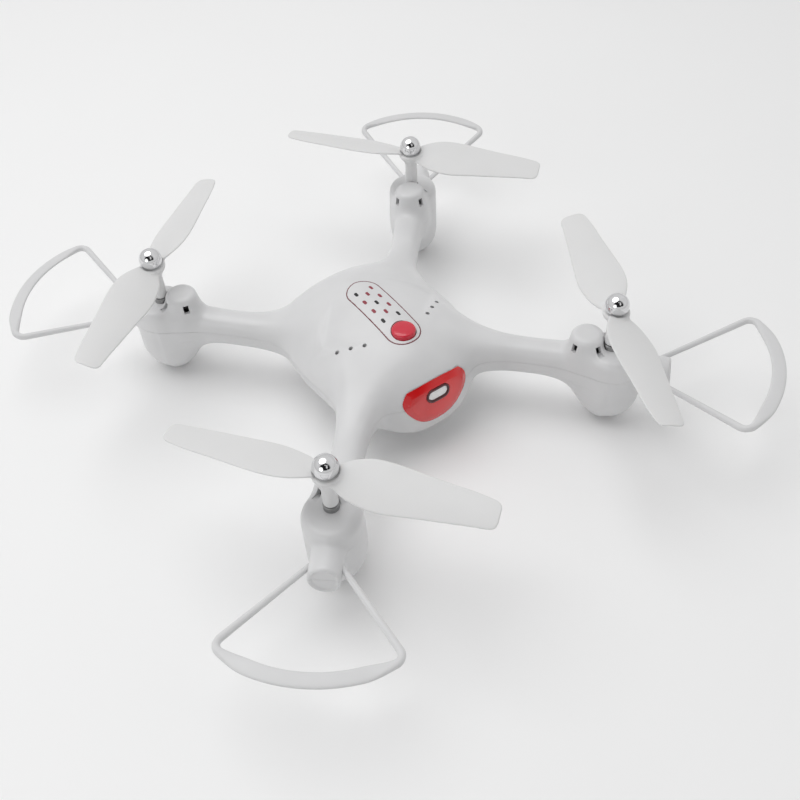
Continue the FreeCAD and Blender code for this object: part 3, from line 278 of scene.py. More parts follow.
def socket_field(x, y, z):
    out = (x - SHAFT_X) * OUT_X + (y - SHAFT_Y) * OUT_Y
    side = (y - SHAFT_Y) * OUT_X - (x - SHAFT_X) * OUT_Y
    radius = np.hypot(side, z - SPLIT_Z)
    face = out - SOCKET_REACH + (z - SPLIT_Z + SOCKET_RADIUS) * math.tan(math.radians(SOCKET_TILT))
    drum = soft_max(radius - SOCKET_RADIUS, face, 0.9)
    dish = np.maximum(radius - SOCKET_RADIUS + SOCKET_RIM, -SOCKET_DISH - face)
    return np.maximum(np.maximum(drum, -dish), -out)


def airframe_field(p):
    """Both shells' outer form in one: body, arms, pods, motor domes and guard sockets."""
    x, y, z = folded(p)
    arm = arm_field(x, y, z)
    pod = soft_min(pod_field(x, y, z), socket_field(x, y, z), 1.2)
    corner = soft_min(arm, pod, 4.0)
    dome = dome_field(x, y, z)
    corner = soft_min(corner, dome, 3.0)
    stem_room = STEM_ROOM - np.hypot(x - SHAFT_X, y - SHAFT_Y)
    corner = np.where(z > DECK_Z, np.maximum(corner, stem_room), corner)
    return soft_min(body_field(p), corner, 4.5)


# ---------------------------------------------------------------- fields to meshes
def sample(field, low, counts, step):
    """The field on a grid, slab by slab."""
    values = np.empty(counts, dtype=np.float32)
    y = low[1] + step * np.arange(counts[1])
    z = low[2] + step * np.arange(counts[2])
    slab = 24
    for start in range(0, counts[0], slab):
        x = low[0] + step * np.arange(start, min(start + slab, counts[0]))
        grid = np.stack(np.meshgrid(x, y, z, indexing="ij"), -1)
        values[start:start + slab] = field(grid.reshape(-1, 3)).reshape(grid.shape[:3])
    return values


def net(values, low, step):
    """Surface nets: one vertex to each cell that the zero level crosses, one quad to each crossing."""
    inside = values < 0
    cells = np.zeros(np.array(values.shape) - 1, dtype=np.int8)
    shifts = [(i, j, k) for i in (0, 1) for j in (0, 1) for k in (0, 1)]
    for i, j, k in shifts:
        cells += inside[i:i + cells.shape[0], j:j + cells.shape[1], k:k + cells.shape[2]]
    active = (cells > 0) & (cells < 8)
    index = np.full(cells.shape, -1, dtype=np.int64)
    places = np.argwhere(active)
    index[active] = np.arange(len(places))
    total = np.zeros((len(places), 3))
    number = np.zeros(len(places))
    for axis in range(3):
        for i, j in ((0, 0), (0, 1), (1, 0), (1, 1)):
            a = np.insert([i, j], axis, 0)
            b = np.insert([i, j], axis, 1)
            at_a = values[tuple((places + a).T)]
            at_b = values[tuple((places + b).T)]
            cross = (at_a < 0) != (at_b < 0)
            share = np.where(cross, at_a / np.where(cross, at_a - at_b, 1), 0)
            point = places + a + share[:, None] * (b - a)
            total[cross] += point[cross]
            number += cross
    vertices = low + step * total / number[:, None]
    quads = []
    for axis in range(3):
        one, two = [other for other in range(3) if other != axis]
        ahead = [slice(None)] * 3
        behind = [slice(None)] * 3
        ahead[axis] = slice(1, None)
        behind[axis] = slice(None, -1)
        change = inside[tuple(behind)] != inside[tuple(ahead)]
        edges = np.argwhere(change)
        edges = edges[(edges[:, one] > 0) & (edges[:, two] > 0)]
        limit = np.array(index.shape)
        edges = edges[(edges[:, one] < limit[one]) & (edges[:, two] < limit[two])]
        ring = []
        for i, j in ((0, 0), (1, 0), (1, 1), (0, 1)):
            cell = edges.copy()
            cell[:, one] -= i
            cell[:, two] -= j
            ring.append(index[tuple(cell.T)])
        quad = np.stack(ring, 1)
        flip = inside[tuple(edges.T)] != (axis == 1)
        quad[flip] = quad[flip][:, ::-1]
        quads.append(quad)
    return vertices, np.concatenate(quads)


def settle(field, vertices, step, rounds=3):
    """Moves the vertices onto the field's zero level."""
    reach = 0.02
    for _ in range(rounds):
        value = field(vertices)
        slope = np.empty_like(vertices)
        for axis in range(3):
            ahead = vertices.copy()
            ahead[:, axis] += reach
            slope[:, axis] = (field(ahead) - value) / reach
        steep = np.maximum((slope ** 2).sum(1), 0.05)
        move = -slope * (value / steep)[:, None]
        length = np.maximum(np.linalg.norm(move, axis=1), 1e-9)
        vertices = vertices + move * np.minimum(1, 0.6 * step / length)[:, None]
    return vertices


def relax(vertices, quads, rounds):
    """Evens the vertices out between their neighbours."""
    pairs = np.concatenate([quads[:, [i, (i + 1) % 4]] for i in range(4)])
    pairs = np.concatenate([pairs, pairs[:, ::-1]])
    count = np.bincount(pairs[:, 0], minlength=len(vertices))[:, None]
    for _ in range(rounds):
        total = np.stack([np.bincount(pairs[:, 0], weights=vertices[pairs[:, 1], axis],
                                      minlength=len(vertices)) for axis in range(3)], 1)
        vertices = 0.4 * vertices + 0.6 * total / count
    return vertices


def mesh_object(name, vertices, faces):
    """A smooth-shaded object from points in millimetres."""
    mesh = bpy.data.meshes.new(name)
    faces = faces.tolist() if isinstance(faces, np.ndarray) else faces
    mesh.from_pydata((np.asarray(vertices) * MM).tolist(), [], faces)
    mesh.update()
    mesh.shade_smooth()
    piece = bpy.data.objects.new(name, mesh)
    bpy.context.scene.collection.objects.link(piece)
    return piece


def modelled(name, field, low, high, step, rounds=2):
    """A closed smooth mesh of a field's inside."""
    low = np.array(low, dtype=float)
    high = np.array(high, dtype=float)
    counts = np.ceil((high - low) / step).astype(int) + 1
    values = sample(field, low, counts, step)
    vertices, quads = net(values, low, step)
    vertices = relax(vertices, quads, rounds)
    vertices = settle(field, vertices, step)
    return mesh_object(name, vertices, quads)


def joined_faces(pieces):
    """Several (vertices, faces) lists as one."""
    vertices = []
    faces = []
    for points, polygons in pieces:
        start = len(vertices)
        vertices.extend(points)
        faces.extend([tuple(start + i for i in polygon) for polygon in polygons])
    return vertices, faces


# ---------------------------------------------------------------- turned, swept and cut forms
def turned(profile, sides=64):
    """(vertices, faces) of a solid of revolution about Z; the profile runs up from the axis to the axis."""
    vertices = []
    faces = []
    rings = []
    for radius, height in profile:
        if radius < 1e-6:
            rings.append([len(vertices)])
            vertices.append((0, 0, height))
            continue
        rings.append([len(vertices) + i for i in range(sides)])
        for i in range(sides):
            turn = 2 * math.pi * i / sides
            vertices.append((radius * math.cos(turn), radius * math.sin(turn), height))
    for below, above in zip(rings[:-1], rings[1:]):
        for i in range(sides):
            j = (i + 1) % sides
            if len(below) == 1:
                faces.append((below[0], above[j], above[i]))
            elif len(above) == 1:
                faces.append((below[i], below[j], above[0]))
            else:
                faces.append((below[i], below[j], above[j], above[i]))
    return vertices, faces


def arc(centre, radius, start, end, steps):
    """Profile points along an arc, angles in degrees."""
    turns = [math.radians(start + (end - start) * i / steps) for i in range(steps + 1)]
    return [(centre[0] + radius * math.cos(t), centre[1] + radius * math.sin(t)) for t in turns]


def drum(x, y, low, high, radius, sides=48):
    """(vertices, faces) of an upright cylinder."""
    points, faces = turned([(0, low), (radius, low), (radius, high), (0, high)], sides)
    return [(px + x, py + y, pz) for px, py, pz in points], faces


def moved(part, matrix):
    points, faces = part
    return [tuple(matrix @ Vector(point)) for point in points], faces


def brick(low, high):
    xs, ys, zs = zip(low, high)
    points = [(x, y, z) for z in zs for y in ys for x in xs]
    faces = [(0, 2, 3, 1), (4, 5, 7, 6), (0, 1, 5, 4), (2, 6, 7, 3), (0, 4, 6, 2), (1, 3, 7, 5)]
    return points, faces


def shape(piece, operation, tool):
    """A boolean with the exact form of a tool mesh, applied at once."""
    modifier = piece.modifiers.new("shape", "BOOLEAN")
    modifier.operation = operation
    modifier.solver = "MANIFOLD"
    modifier.object = tool
    graph = bpy.context.evaluated_depsgraph_get()
    result = bpy.data.meshes.new_from_object(piece.evaluated_get(graph))
    piece.modifiers.clear()
    old = piece.data
    piece.data = result
    bpy.data.meshes.remove(old)
    return piece


def cut(piece, parts):
    """Takes simple solids away, one list at a time; the parts of a list don't touch."""
    tool = mesh_object("tool", *joined_faces(parts))
    shape(piece, "DIFFERENCE", tool)
    bpy.data.objects.remove(tool)


def join(piece, parts):
    tool = mesh_object("tool", *joined_faces(parts))
    shape(piece, "UNION", tool)
    bpy.data.objects.remove(tool)


def crisp(piece, angle=35):
    """Smooth shading that stops at sharp edges."""
    piece.data.shade_smooth()
    piece.data.set_sharp_from_angle(angle=math.radians(angle))


def twin(piece, name):
    other = piece.copy()
    other.data = piece.data.copy()
    other.name = name
    bpy.context.scene.collection.objects.link(other)
    return other


# ---------------------------------------------------------------- materials
def nodes_of(name):
    material = bpy.data.materials.new(name)
    material.use_nodes = True
    tree = material.node_tree
    return material, tree, tree.nodes["Principled BSDF"]


def add(tree, kind, **values):
    node = tree.nodes.new(kind)
    for key, value in values.items():
        if hasattr(node, key):
            setattr(node, key, value)
        else:
            node.inputs[key.replace("_", " ")].default_value = value
    return node


def noise(tree, scale, detail=3.0, rough=0.5):
    """Noise in the object's own space; scale is features to the metre."""
    place = add(tree, "ShaderNodeTexCoord")
    node = add(tree, "ShaderNodeTexNoise")
    node.inputs["Scale"].default_value = scale
    node.inputs["Detail"].default_value = detail
    node.inputs["Roughness"].default_value = rough
    tree.links.new(place.outputs["Object"], node.inputs["Vector"])
    return node.outputs["Fac"]


def ramp(tree, source, low, high, start=0.35, end=0.65):
    node = add(tree, "ShaderNodeMapRange")
    node.inputs["From Min"].default_value = start
    node.inputs["From Max"].default_value = end
    node.inputs["To Min"].default_value = low
    node.inputs["To Max"].default_value = high
    tree.links.new(source, node.inputs["Value"])
    return node.outputs["Result"]


def mixed(tree, factor, one, two):
    node = add(tree, "ShaderNodeMix", data_type="RGBA")
    tree.links.new(factor, node.inputs["Factor"])
    for socket, value in ((node.inputs["A"], one), (node.inputs["B"], two)):
        if isinstance(value, tuple):
            socket.default_value = (*value, 1.0)
        else:
            tree.links.new(value, socket)
    return node.outputs["Result"]


def bumped(tree, shader, parts):
    """Stacked bumps: (height, strength, distance in mm)."""
    last = None
    for height, strength, distance in parts:
        node = add(tree, "ShaderNodeBump")
        node.inputs["Strength"].default_value = strength
        node.inputs["Distance"].default_value = distance * MM
        tree.links.new(height, node.inputs["Height"])
        if last is not None:
            tree.links.new(last, node.inputs["Normal"])
        last = node.outputs["Normal"]
    tree.links.new(last, shader.inputs["Normal"])


def plastic(name, colour, rough=0.35, coat=0.0, clear=0.0, inner=0.0, grain=0.02, tone=0.03,
            wear=0.06):
    """Moulded plastic: faint tone changes, fine skin grain, uneven gloss and lighter worn edges."""
    material, tree, shader = nodes_of(name)
    broad = noise(tree, 60.0, 2.0)
    fine = noise(tree, 2600.0, 2.0)
    smear = noise(tree, 240.0, 4.0, 0.65)
    shade = tuple(c * (1 - tone) for c in colour)
    light = tuple(min(1.0, c * (1 + tone * 0.6)) for c in colour)
    body = mixed(tree, ramp(tree, broad, 0, 1), shade, light)
    edge = add(tree, "ShaderNodeNewGeometry")
    worn = ramp(tree, edge.outputs["Pointiness"], 0.0, 1.0, 0.53, 0.62)
    patch = add(tree, "ShaderNodeMath", operation="MULTIPLY")
    tree.links.new(worn, patch.inputs[0])
    tree.links.new(ramp(tree, smear, 0.2, 1.0), patch.inputs[1])
    pale = tuple(c + (0.9 - c) * wear for c in colour)
    tree.links.new(mixed(tree, patch.outputs[0], body, pale), shader.inputs["Base Color"])
    gloss = ramp(tree, smear, rough * 0.85, min(1.0, rough * 1.2 + 0.03))
    tree.links.new(gloss, shader.inputs["Roughness"])
    shader.inputs["Coat Weight"].default_value = coat
    shader.inputs["Coat Roughness"].default_value = 0.06
    shader.inputs["Transmission Weight"].default_value = clear
    shader.inputs["Subsurface Weight"].default_value = inner
    shader.inputs["Subsurface Radius"].default_value = (0.0012, 0.0011, 0.001)
    shader.inputs["Subsurface Scale"].default_value = 1.0
    bumped(tree, shader, [(fine, grain * 4, 0.02), (smear, grain * 2, 0.05)])
    return material


def metal(name, colour, rough, brushed=False, scratch=0.03):
    """Metal with faint scratches; brushed metal has fine lines round its upright axis."""
    material, tree, shader = nodes_of(name)
    smear = noise(tree, 500.0, 4.0, 0.6)
    body = mixed(tree, ramp(tree, smear, 0, 1), tuple(c * 0.93 for c in colour), colour)
    tree.links.new(body, shader.inputs["Base Color"])
    shader.inputs["Metallic"].default_value = 1.0
    tree.links.new(ramp(tree, smear, rough * 0.7, rough * 1.4), shader.inputs["Roughness"])
    lines = noise(tree, 1800.0, 2.0)
    if brushed:
        place = add(tree, "ShaderNodeTexCoord")
        stretch = add(tree, "ShaderNodeMapping")
        stretch.inputs["Scale"].default_value = (0.06, 0.06, 4.0)
        tree.links.new(place.outputs["Object"], stretch.inputs["Vector"])
        fibres = add(tree, "ShaderNodeTexNoise")
        fibres.inputs["Scale"].default_value = 1500.0
        tree.links.new(stretch.outputs["Vector"], fibres.inputs["Vector"])
        lines = fibres.outputs["Fac"]
    bumped(tree, shader, [(lines, scratch, 0.02)])
    return material


def circuit(name):
    """Green solder mask over fine copper tracks."""
    material, tree, shader = nodes_of(name)
    place = add(tree, "ShaderNodeTexCoord")
    tracks = add(tree, "ShaderNodeTexBrick")
    tracks.inputs["Scale"].default_value = 260.0
    tracks.inputs["Mortar Size"].default_value = 0.04
    tree.links.new(place.outputs["Object"], tracks.inputs["Vector"])
    cloud = noise(tree, 300.0, 3.0)
    base = mixed(tree, cloud, (0.01, 0.10, 0.035), (0.015, 0.16, 0.055))
    colour = mixed(tree, tracks.outputs["Fac"], base, (0.03, 0.28, 0.09))
    tree.links.new(colour, shader.inputs["Base Color"])
    shader.inputs["Roughness"].default_value = 0.3
    bumped(tree, shader, [(tracks.outputs["Fac"], 0.3, 0.04)])
    return material


WHITE = plastic("white_shell", (0.70, 0.70, 0.705), rough=0.34, coat=0.12)
GUARD_WHITE = plastic("white_guard", (0.68, 0.68, 0.685), rough=0.4, wear=0.02, grain=0.006, tone=0.015)
PROP_WHITE = plastic("milky_propeller", (0.73, 0.73, 0.73), rough=0.48, inner=0.1, coat=0.04, wear=0.0,
                     grain=0.003, tone=0.01)
VISOR_RED = plastic("clear_red", (0.72, 0.010, 0.012), rough=0.14, coat=0.16, clear=0.04,
                    grain=0.004, tone=0.12)
BUTTON_RED = plastic("button_red", (0.66, 0.012, 0.04), rough=0.2, coat=0.5, inner=0.1, tone=0.08)
MAROON = plastic("dark_maroon", (0.07, 0.002, 0.006), rough=0.2, coat=0.4)
TRIM_MAROON = plastic("trim_maroon", (0.16, 0.03, 0.04), rough=0.35)
MARK_RED = plastic("mark_red", (0.28, 0.03, 0.05), rough=0.4)
BLACK = plastic("soft_black", (0.012, 0.012, 0.013), rough=0.5, wear=0.03)
WINDOW = plastic("window_white", (0.92, 0.92, 0.92), rough=0.12, coat=0.6, grain=0.004)
CHROME = metal("chrome", (0.80, 0.80, 0.81), 0.045, scratch=0.006)
STEEL = metal("ground_steel", (0.56, 0.56, 0.57), 0.25, brushed=True)
CAN = metal("drawn_steel", (0.5, 0.5, 0.51), 0.3, brushed=True)
ZINC = metal("zinc_screw", (0.42, 0.42, 0.43), 0.32)
BRASS = metal("brass", (0.72, 0.50, 0.20), 0.22)
COLLAR_GREY = metal("sintered_steel", (0.36, 0.36, 0.36), 0.42)
NYLON = plastic("natural_nylon", (0.78, 0.77, 0.70), rough=0.45, inner=0.25)
RUBBER = plastic("grey_rubber", (0.42, 0.42, 0.43), rough=0.75, grain=0.08)
WRAP = plastic("battery_wrap", (0.03, 0.08, 0.32), rough=0.25, coat=0.3)
BOARD = circuit("solder_mask")


def dress(piece, material):
    piece.data.materials.clear()
    piece.data.materials.append(material)


def dress_node(node, material):
    """A carried-over CAD node keeps its mesh and gets a finish."""
    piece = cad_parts[node]
    for index in range(len(piece.material_slots)):
        piece.material_slots[index].material = material
    if not piece.material_slots:
        piece.data.materials.append(material)


def place_piece(piece, body, nodes, material):
    dress(piece, material)
    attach(piece, body)
    if nodes:
        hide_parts(*nodes)


# ---------------------------------------------------------------- shells
def local(pod, out, side, z):
    along = OUTWARD[pod]
    across = np.array([-along[1], along[0]])
    x, y = SHAFT[pod] + along * out + across * side
    return x, y, z


def visor_loop():
    """The visor's D-shaped outline, seen along Y: a slightly arched top, a round bottom."""
    knots = np.array([
        (-VISOR_HALF + VISOR_INSET, VISOR_CORNER),
        (-VISOR_HALF, VISOR_TOP - 5.0),
        (-VISOR_HALF + 2.6, VISOR_TOP - 12.6),
        (-VISOR_HALF + 8.0, VISOR_LOW + 1.4),
        (0, VISOR_LOW),
    ])
    knots = np.concatenate([knots, knots[-2::-1] * (-1, 1)])
    steps = np.concatenate([[0], np.cumsum(np.linalg.norm(np.diff(knots, axis=0), axis=1))])
    places = np.linspace(0, steps[-1], 49)
    lower = np.stack([spline(steps, knots[:, 0], places), spline(steps, knots[:, 1], places)], 1)
    across = np.linspace(1, -1, 17)[1:-1]
    drop = VISOR_TOP - VISOR_CORNER
    upper = np.stack([across * (VISOR_HALF - VISOR_INSET), VISOR_TOP - drop * across ** 2], 1)
    return np.concatenate([lower, upper])


def outline_2d(p):
    """Signed distance to the visor's outline, seen along Y."""
    best = np.full(len(p), 1e9)
    inside = np.zeros(len(p), dtype=bool)
    x, z = p[:, 0], p[:, 2]
    loop = visor_loop()
    for (ax, az), (bx, bz) in zip(loop, np.roll(loop, -1, axis=0)):
        length = (bx - ax) ** 2 + (bz - az) ** 2
        share = np.clip(((x - ax) * (bx - ax) + (z - az) * (bz - az)) / length, 0, 1)
        best = np.minimum(best, (x - ax - share * (bx - ax)) ** 2 + (z - az - share * (bz - az)) ** 2)
        if az != bz:
            inside ^= ((az > z) != (bz > z)) & (x < ax + (z - az) * (bx - ax) / (bz - az))
    return np.where(inside, -np.sqrt(best), np.sqrt(best))


def capsule_2d(p):
    """Distance to the top panel's outline, seen from above."""
    y = p[:, 1] - np.clip(p[:, 1], PANEL_FRONT, PANEL_REAR)
    return np.hypot(p[:, 0], y) - PANEL_RADIUS


def lens_2d(p, half, radius):
    x = p[:, 0] - np.clip(p[:, 0], radius - half, half - radius)
    return np.hypot(x, p[:, 2] - LENS_Z) - radius


def skin(p, proud, deep):
    """A layer of the shell's surface, from proud of it to deep in it."""
    depth = airframe_field(p)
    return np.maximum(depth - proud, -deep - depth)


def build_shells():
    step = 0.6
    reach = [SHAFT_X + 20, SHAFT_Y + 21, 45.5]
    low = [-reach[0], -reach[1], -1.0]
    whole = modelled("whole", airframe_field, low, reach, step)
    hollow = modelled("hollow", lambda p: airframe_field(p) + WALL, low, reach, step * 1.5)
    shape(whole, "DIFFERENCE", hollow)
    bpy.data.objects.remove(hollow)
    lower = twin(whole, "shell_bottom")
    upper = whole
    upper.name = "shell_top"
    halve(upper, SPLIT_Z + SEAM, 1)
    halve(lower, SPLIT_Z - SEAM, -1)
    return upper, lower


def halve(piece, height, side):
    """Keeps what lies above (side 1) or below (side -1) a height and closes the cut wall."""
    form = bmesh.new()
    form.from_mesh(piece.data)
    parts = form.verts[:] + form.edges[:] + form.faces[:]
    made = bmesh.ops.bisect_plane(form, geom=parts, dist=1e-7, plane_co=(0, 0, height * MM),
                                  plane_no=(0, 0, side), clear_inner=True)
    rim = [item for item in made["geom_cut"] if isinstance(item, bmesh.types.BMEdge)]
    bmesh.ops.triangle_fill(form, use_beauty=True, use_dissolve=False, edges=rim, normal=(0, 0, -side))
    bmesh.ops.recalc_face_normals(form, faces=form.faces[:])
    form.to_mesh(piece.data)
    form.free()


def visor_tool(step):
    def room(p):
        return np.maximum(outline_2d(p) - 0.08, np.maximum(-46 - p[:, 1], p[:, 1] + 27.0))
    return modelled("visor_room", room, (-16, -47, 11), (16, -26, 35), step, rounds=0)


def finish_shells(upper, lower):
    step = 0.45
    tool = visor_tool(step)
    shape(upper, "DIFFERENCE", tool)
    shape(lower, "DIFFERENCE", tool)
    bpy.data.objects.remove(tool)

    # Door opening in the rear wall, through both shells.
    opening = brick((DOOR_LOW[0] - DOOR_GAP, DOOR_LOW[1] - 1.2, DOOR_LOW[2] - DOOR_GAP),
                    (DOOR_HIGH[0] + DOOR_GAP, DOOR_HIGH[1] + 3, DOOR_HIGH[2] + DOOR_GAP))
    cut(upper, [opening])
    cut(lower, [opening])

    # Posts that hold the shafts' bushes, and the bushes' holes in them.
    posts_up = []
    posts_down = []
    holes_up = []
    holes_down = []
    for pod in PODS:
        x, y = SHAFT[pod]
        posts_up.append(drum(x, y, 27.0, DECK_Z - 0.4, POST_RADIUS))
        posts_down.append(drum(x, y, POD_LOW + 0.5, 13.5, POST_RADIUS))
        holes_up.append(drum(x, y, 26.0, DECK_Z + 1.0, BUSH_BORE))
        holes_down.append(drum(x, y, 8.0, 16.0, BUSH_BORE))
    join(upper, posts_up)
    join(lower, posts_down)
    cut(upper, holes_up)
    cut(lower, holes_down)
    cut(lower, [drum(*FOOT[pod], -1.0, FOOT_HIGH + 0.02, FOOT_BORE) for pod in PODS])

    # Round holes: the button's and the side vents'.
    cut(upper, [drum(0.0, BUTTON_Y, 34, 48, BUTTON_RADIUS + BUTTON_GAP, 96)])
    vents = []
    for side in (-1, 1):
        for x, y in VENTS:
            vents.append(drum(side * x, y, 30, 44, VENT_RADIUS, 24))
    cut(upper, vents)

    # Slots in the motor domes.
    slots = []
    for pod in PODS:
        facing = math.atan2(OUTWARD[pod][1], OUTWARD[pod][0])
        for angle in SLOT_ANGLES:
            turn = facing + math.radians(angle)
            x, y = MOTOR[pod]
            matrix = Matrix.Translation((x, y, 0)) @ Matrix.Rotation(turn, 4, "Z")
            slots.append(moved(brick(SLOT_LOW, SLOT_HIGH), matrix))
    cut(upper, slots)

    # Screw posts inside the lower shell, and the screw holes underneath.
    places = [(x, y) for x in SCREW_X for y in SCREW_Y]
    join(lower, [drum(x, y, 13.8, SPLIT_Z - 0.2, POST_RADIUS) for x, y in places])
    cut(lower, [drum(x, y, 0, 15.3, SCREW_BORE) for x, y in places])
    for pod in PODS:
        x, y, _ = local(pod, GUARD_SCREW_OUT, 0, 0)
        cut(lower, [drum(x, y, 15, 21.5, GUARD_SCREW_BORE, 32)])
    for piece in (upper, lower):
        crisp(piece)
    place_piece(upper, "airframe", ["top_shell"], WHITE)
    place_piece(lower, "airframe", ["bottom_shell"], WHITE)


def build_visor():
    """Red window with a bevelled rim, its lens rim and the white pane in the middle."""
    step = 0.25
    low, high = (-15.5, -41.0, 12.5), (15.5, -27.0, 34.5)

    def plate(p):
        edge = outline_2d(p)
        proud = 0.55 - 0.55 * np.clip((edge + 2.6) / 2.2, 0, 1)
        body = soft_max(skin(p, 0.0, 1.5) - proud, edge, 0.35)
        return np.maximum(body, -(lens_2d(p, *LENS_OUTER) - 0.02))

    def rim(p):
        outer = lens_2d(p, *LENS_OUTER)
        inner = lens_2d(p, *LENS_INNER)
        return soft_max(soft_max(skin(p, 0.8, 1.5), outer, 0.25), -inner, 0.25)

    def pane(p):
        return soft_max(skin(p, 0.45, 1.4), lens_2d(p, *LENS_PANE), 0.3)

    visor = modelled("visor_window", plate, low, high, step)
    place_piece(visor, "airframe", ["visor"], VISOR_RED)
    box_low, box_high = (-6.5, -41.0, 23.0), (6.5, -31.0, 31.5)
    fine = 0.16
    bezel = modelled("lens_rim", rim, box_low, box_high, fine)
    place_piece(bezel, "airframe", ["camera_bezel"], MAROON)
    window = modelled("lens_pane", pane, box_low, box_high, fine)
    place_piece(window, "airframe", ["camera_window"], WINDOW)


def build_panel():
    """The fine border and the small slots of the top panel."""
    fine = 0.16
    low = (-8.0, BUTTON_Y - 8.0, 38.0)
    high = (8.0, PANEL_REAR + 8.0, 45.0)

    def border(p):
        line = np.abs(capsule_2d(p) + TRIM / 2) - TRIM / 2
        return np.maximum(skin(p, 0.06, 0.5), line)

    left, centre, right = -3.3, 0.0, 3.3
    dark = [(left, 8.6), (left, -9.4), (centre, -0.3), (right, -9.4)]
    red = [(left, 2.8), (left, -3.2), (centre, 5.8), (centre, -6.3)]
    red += [(right, 8.6), (right, 2.6), (right, -3.4)]

    def marks(places):
        def field(p):
            best = np.full(len(p), 9.0)
            for x, y in places:
                across = np.hypot(p[:, 0] - x, p[:, 1] - np.clip(p[:, 1], y - MARK_HALF, y + MARK_HALF))
                best = np.minimum(best, across - MARK_RADIUS)
            return np.maximum(skin(p, 0.05, 0.4), best)
        return field

    trim = modelled("panel_border", border, low, high, fine)
    place_piece(trim, "airframe", ["panel_trim"], TRIM_MAROON)
    black = modelled("panel_slots_dark", marks(dark), low, high, fine)
    place_piece(black, "airframe", ["panel_marks_dark"], BLACK)
    maroon = modelled("panel_slots_red", marks(red), low, high, fine)
    place_piece(maroon, "airframe", ["panel_marks_red"], MARK_RED)


def build_button():
    """A turned button with a soft crown."""
    low, high = BUTTON_LOW[2], BUTTON_HIGH[2]
    radius = BUTTON_RADIUS
    profile = [(0, low), (2.0, low), (2.0, 37.2), (5.2, 37.2), (5.2, 38.0), (radius, 38.0)]
    profile += arc((radius - 0.9, high - 1.15), 0.9, 0, 80, 8)
    profile += [(radius * share, high - 0.25 * share ** 2) for share in (0.6, 0.4, 0.2)]
    profile += [(0, high)]
    points, faces = turned(profile, 96)
    piece = mesh_object("button_cap", [(x, y + BUTTON_Y, z) for x, y, z in points], faces)
    crisp(piece, 50)
    place_piece(piece, "power_button", ["power_button"], BUTTON_RED)


# ---------------------------------------------------------------- propellers
# Blade stations: radius, leading edge and trailing edge off the radial line, pitch.
BLADE = np.array([
    (2.2, 3.0, 3.3, 20.0),
    (7.0, 5.5, 6.1, 19.5),
    (12.0, 7.1, 7.7, 18.5),
    (17.0, 7.5, 8.6, 17.5),
    (27.0, 6.6, 8.4, 15.5),
    (38.0, 5.1, 7.7, 14.0),
    (47.0, 4.0, 7.1, 13.0),
    (55.2, 2.3, 6.7, 13.0),
])
REST_ANGLES = {"fl": 62.8, "fr": -52.3, "rl": -51.0, "rr": 38.2}
BLADE_TIP = 55.2
BLADE_Z = 51.9
BLADE_RISE = 1.2      # how much higher the tip lies than the root
HUB_STEM = 2.55
HUB_BOWL = 4.9


def blade_field(p):
    """Both blades at once: the second is the first turned half round."""
    turn = np.where(p[:, 0] < 0, -1.0, 1.0)
    r = p[:, 0] * turn
    side = p[:, 1] * turn
    lead = spline(BLADE[:, 0], BLADE[:, 1], np.clip(r, 2.2, BLADE_TIP))
    trail = spline(BLADE[:, 0], BLADE[:, 2], np.clip(r, 2.2, BLADE_TIP))
    pitch = np.radians(spline(BLADE[:, 0], BLADE[:, 3], np.clip(r, 2.2, BLADE_TIP)))
    chord = lead + trail
    share = np.clip((side + trail) / chord, 0, 1)
    camber = 0.18 * chord * share * (1 - share)
    height = BLADE_Z - BLADE_RISE * (1 - r / BLADE_TIP) + side * np.tan(pitch) + camber
    thick = (1.15 - 0.45 * r / BLADE_TIP) * (0.62 + 1.5 * share * (1 - share))
    slab = np.abs(p[:, 2] - height) * np.cos(pitch) - thick / 2
    plan = soft_max(soft_max(side - lead, -trail - side, 0.5), r - BLADE_TIP, 2.6)
    return soft_max(slab, plan, 0.5)


def hub_field(p):
    radius = np.hypot(p[:, 0], p[:, 1])
    z = p[:, 2]
    bowl_reach = spline(np.array([-9.0, -6.0, -3.6, -1.6, 0.0]),
                        np.array([HUB_STEM, HUB_STEM, HUB_STEM + 0.75, HUB_BOWL - 0.3, HUB_BOWL]),
                        np.clip(z - HUB_RIM, -9, 0))
    wall = (radius - bowl_reach) * 0.85
    body = soft_max(wall, np.maximum(HUB_LOW - z, z - HUB_RIM), 0.7)
    return np.maximum(body, SHAFT_BORE - radius)


def propeller_field(p):
    radius = np.hypot(p[:, 0], p[:, 1])
    blades = np.maximum(blade_field(p), np.where(p[:, 2] > HUB_RIM - 0.01, BALL_RADIUS + 0.12 - radius, -9))
    blades = np.maximum(blades, SHAFT_BORE - radius)
    return soft_min(blades, hub_field(p), 1.2)


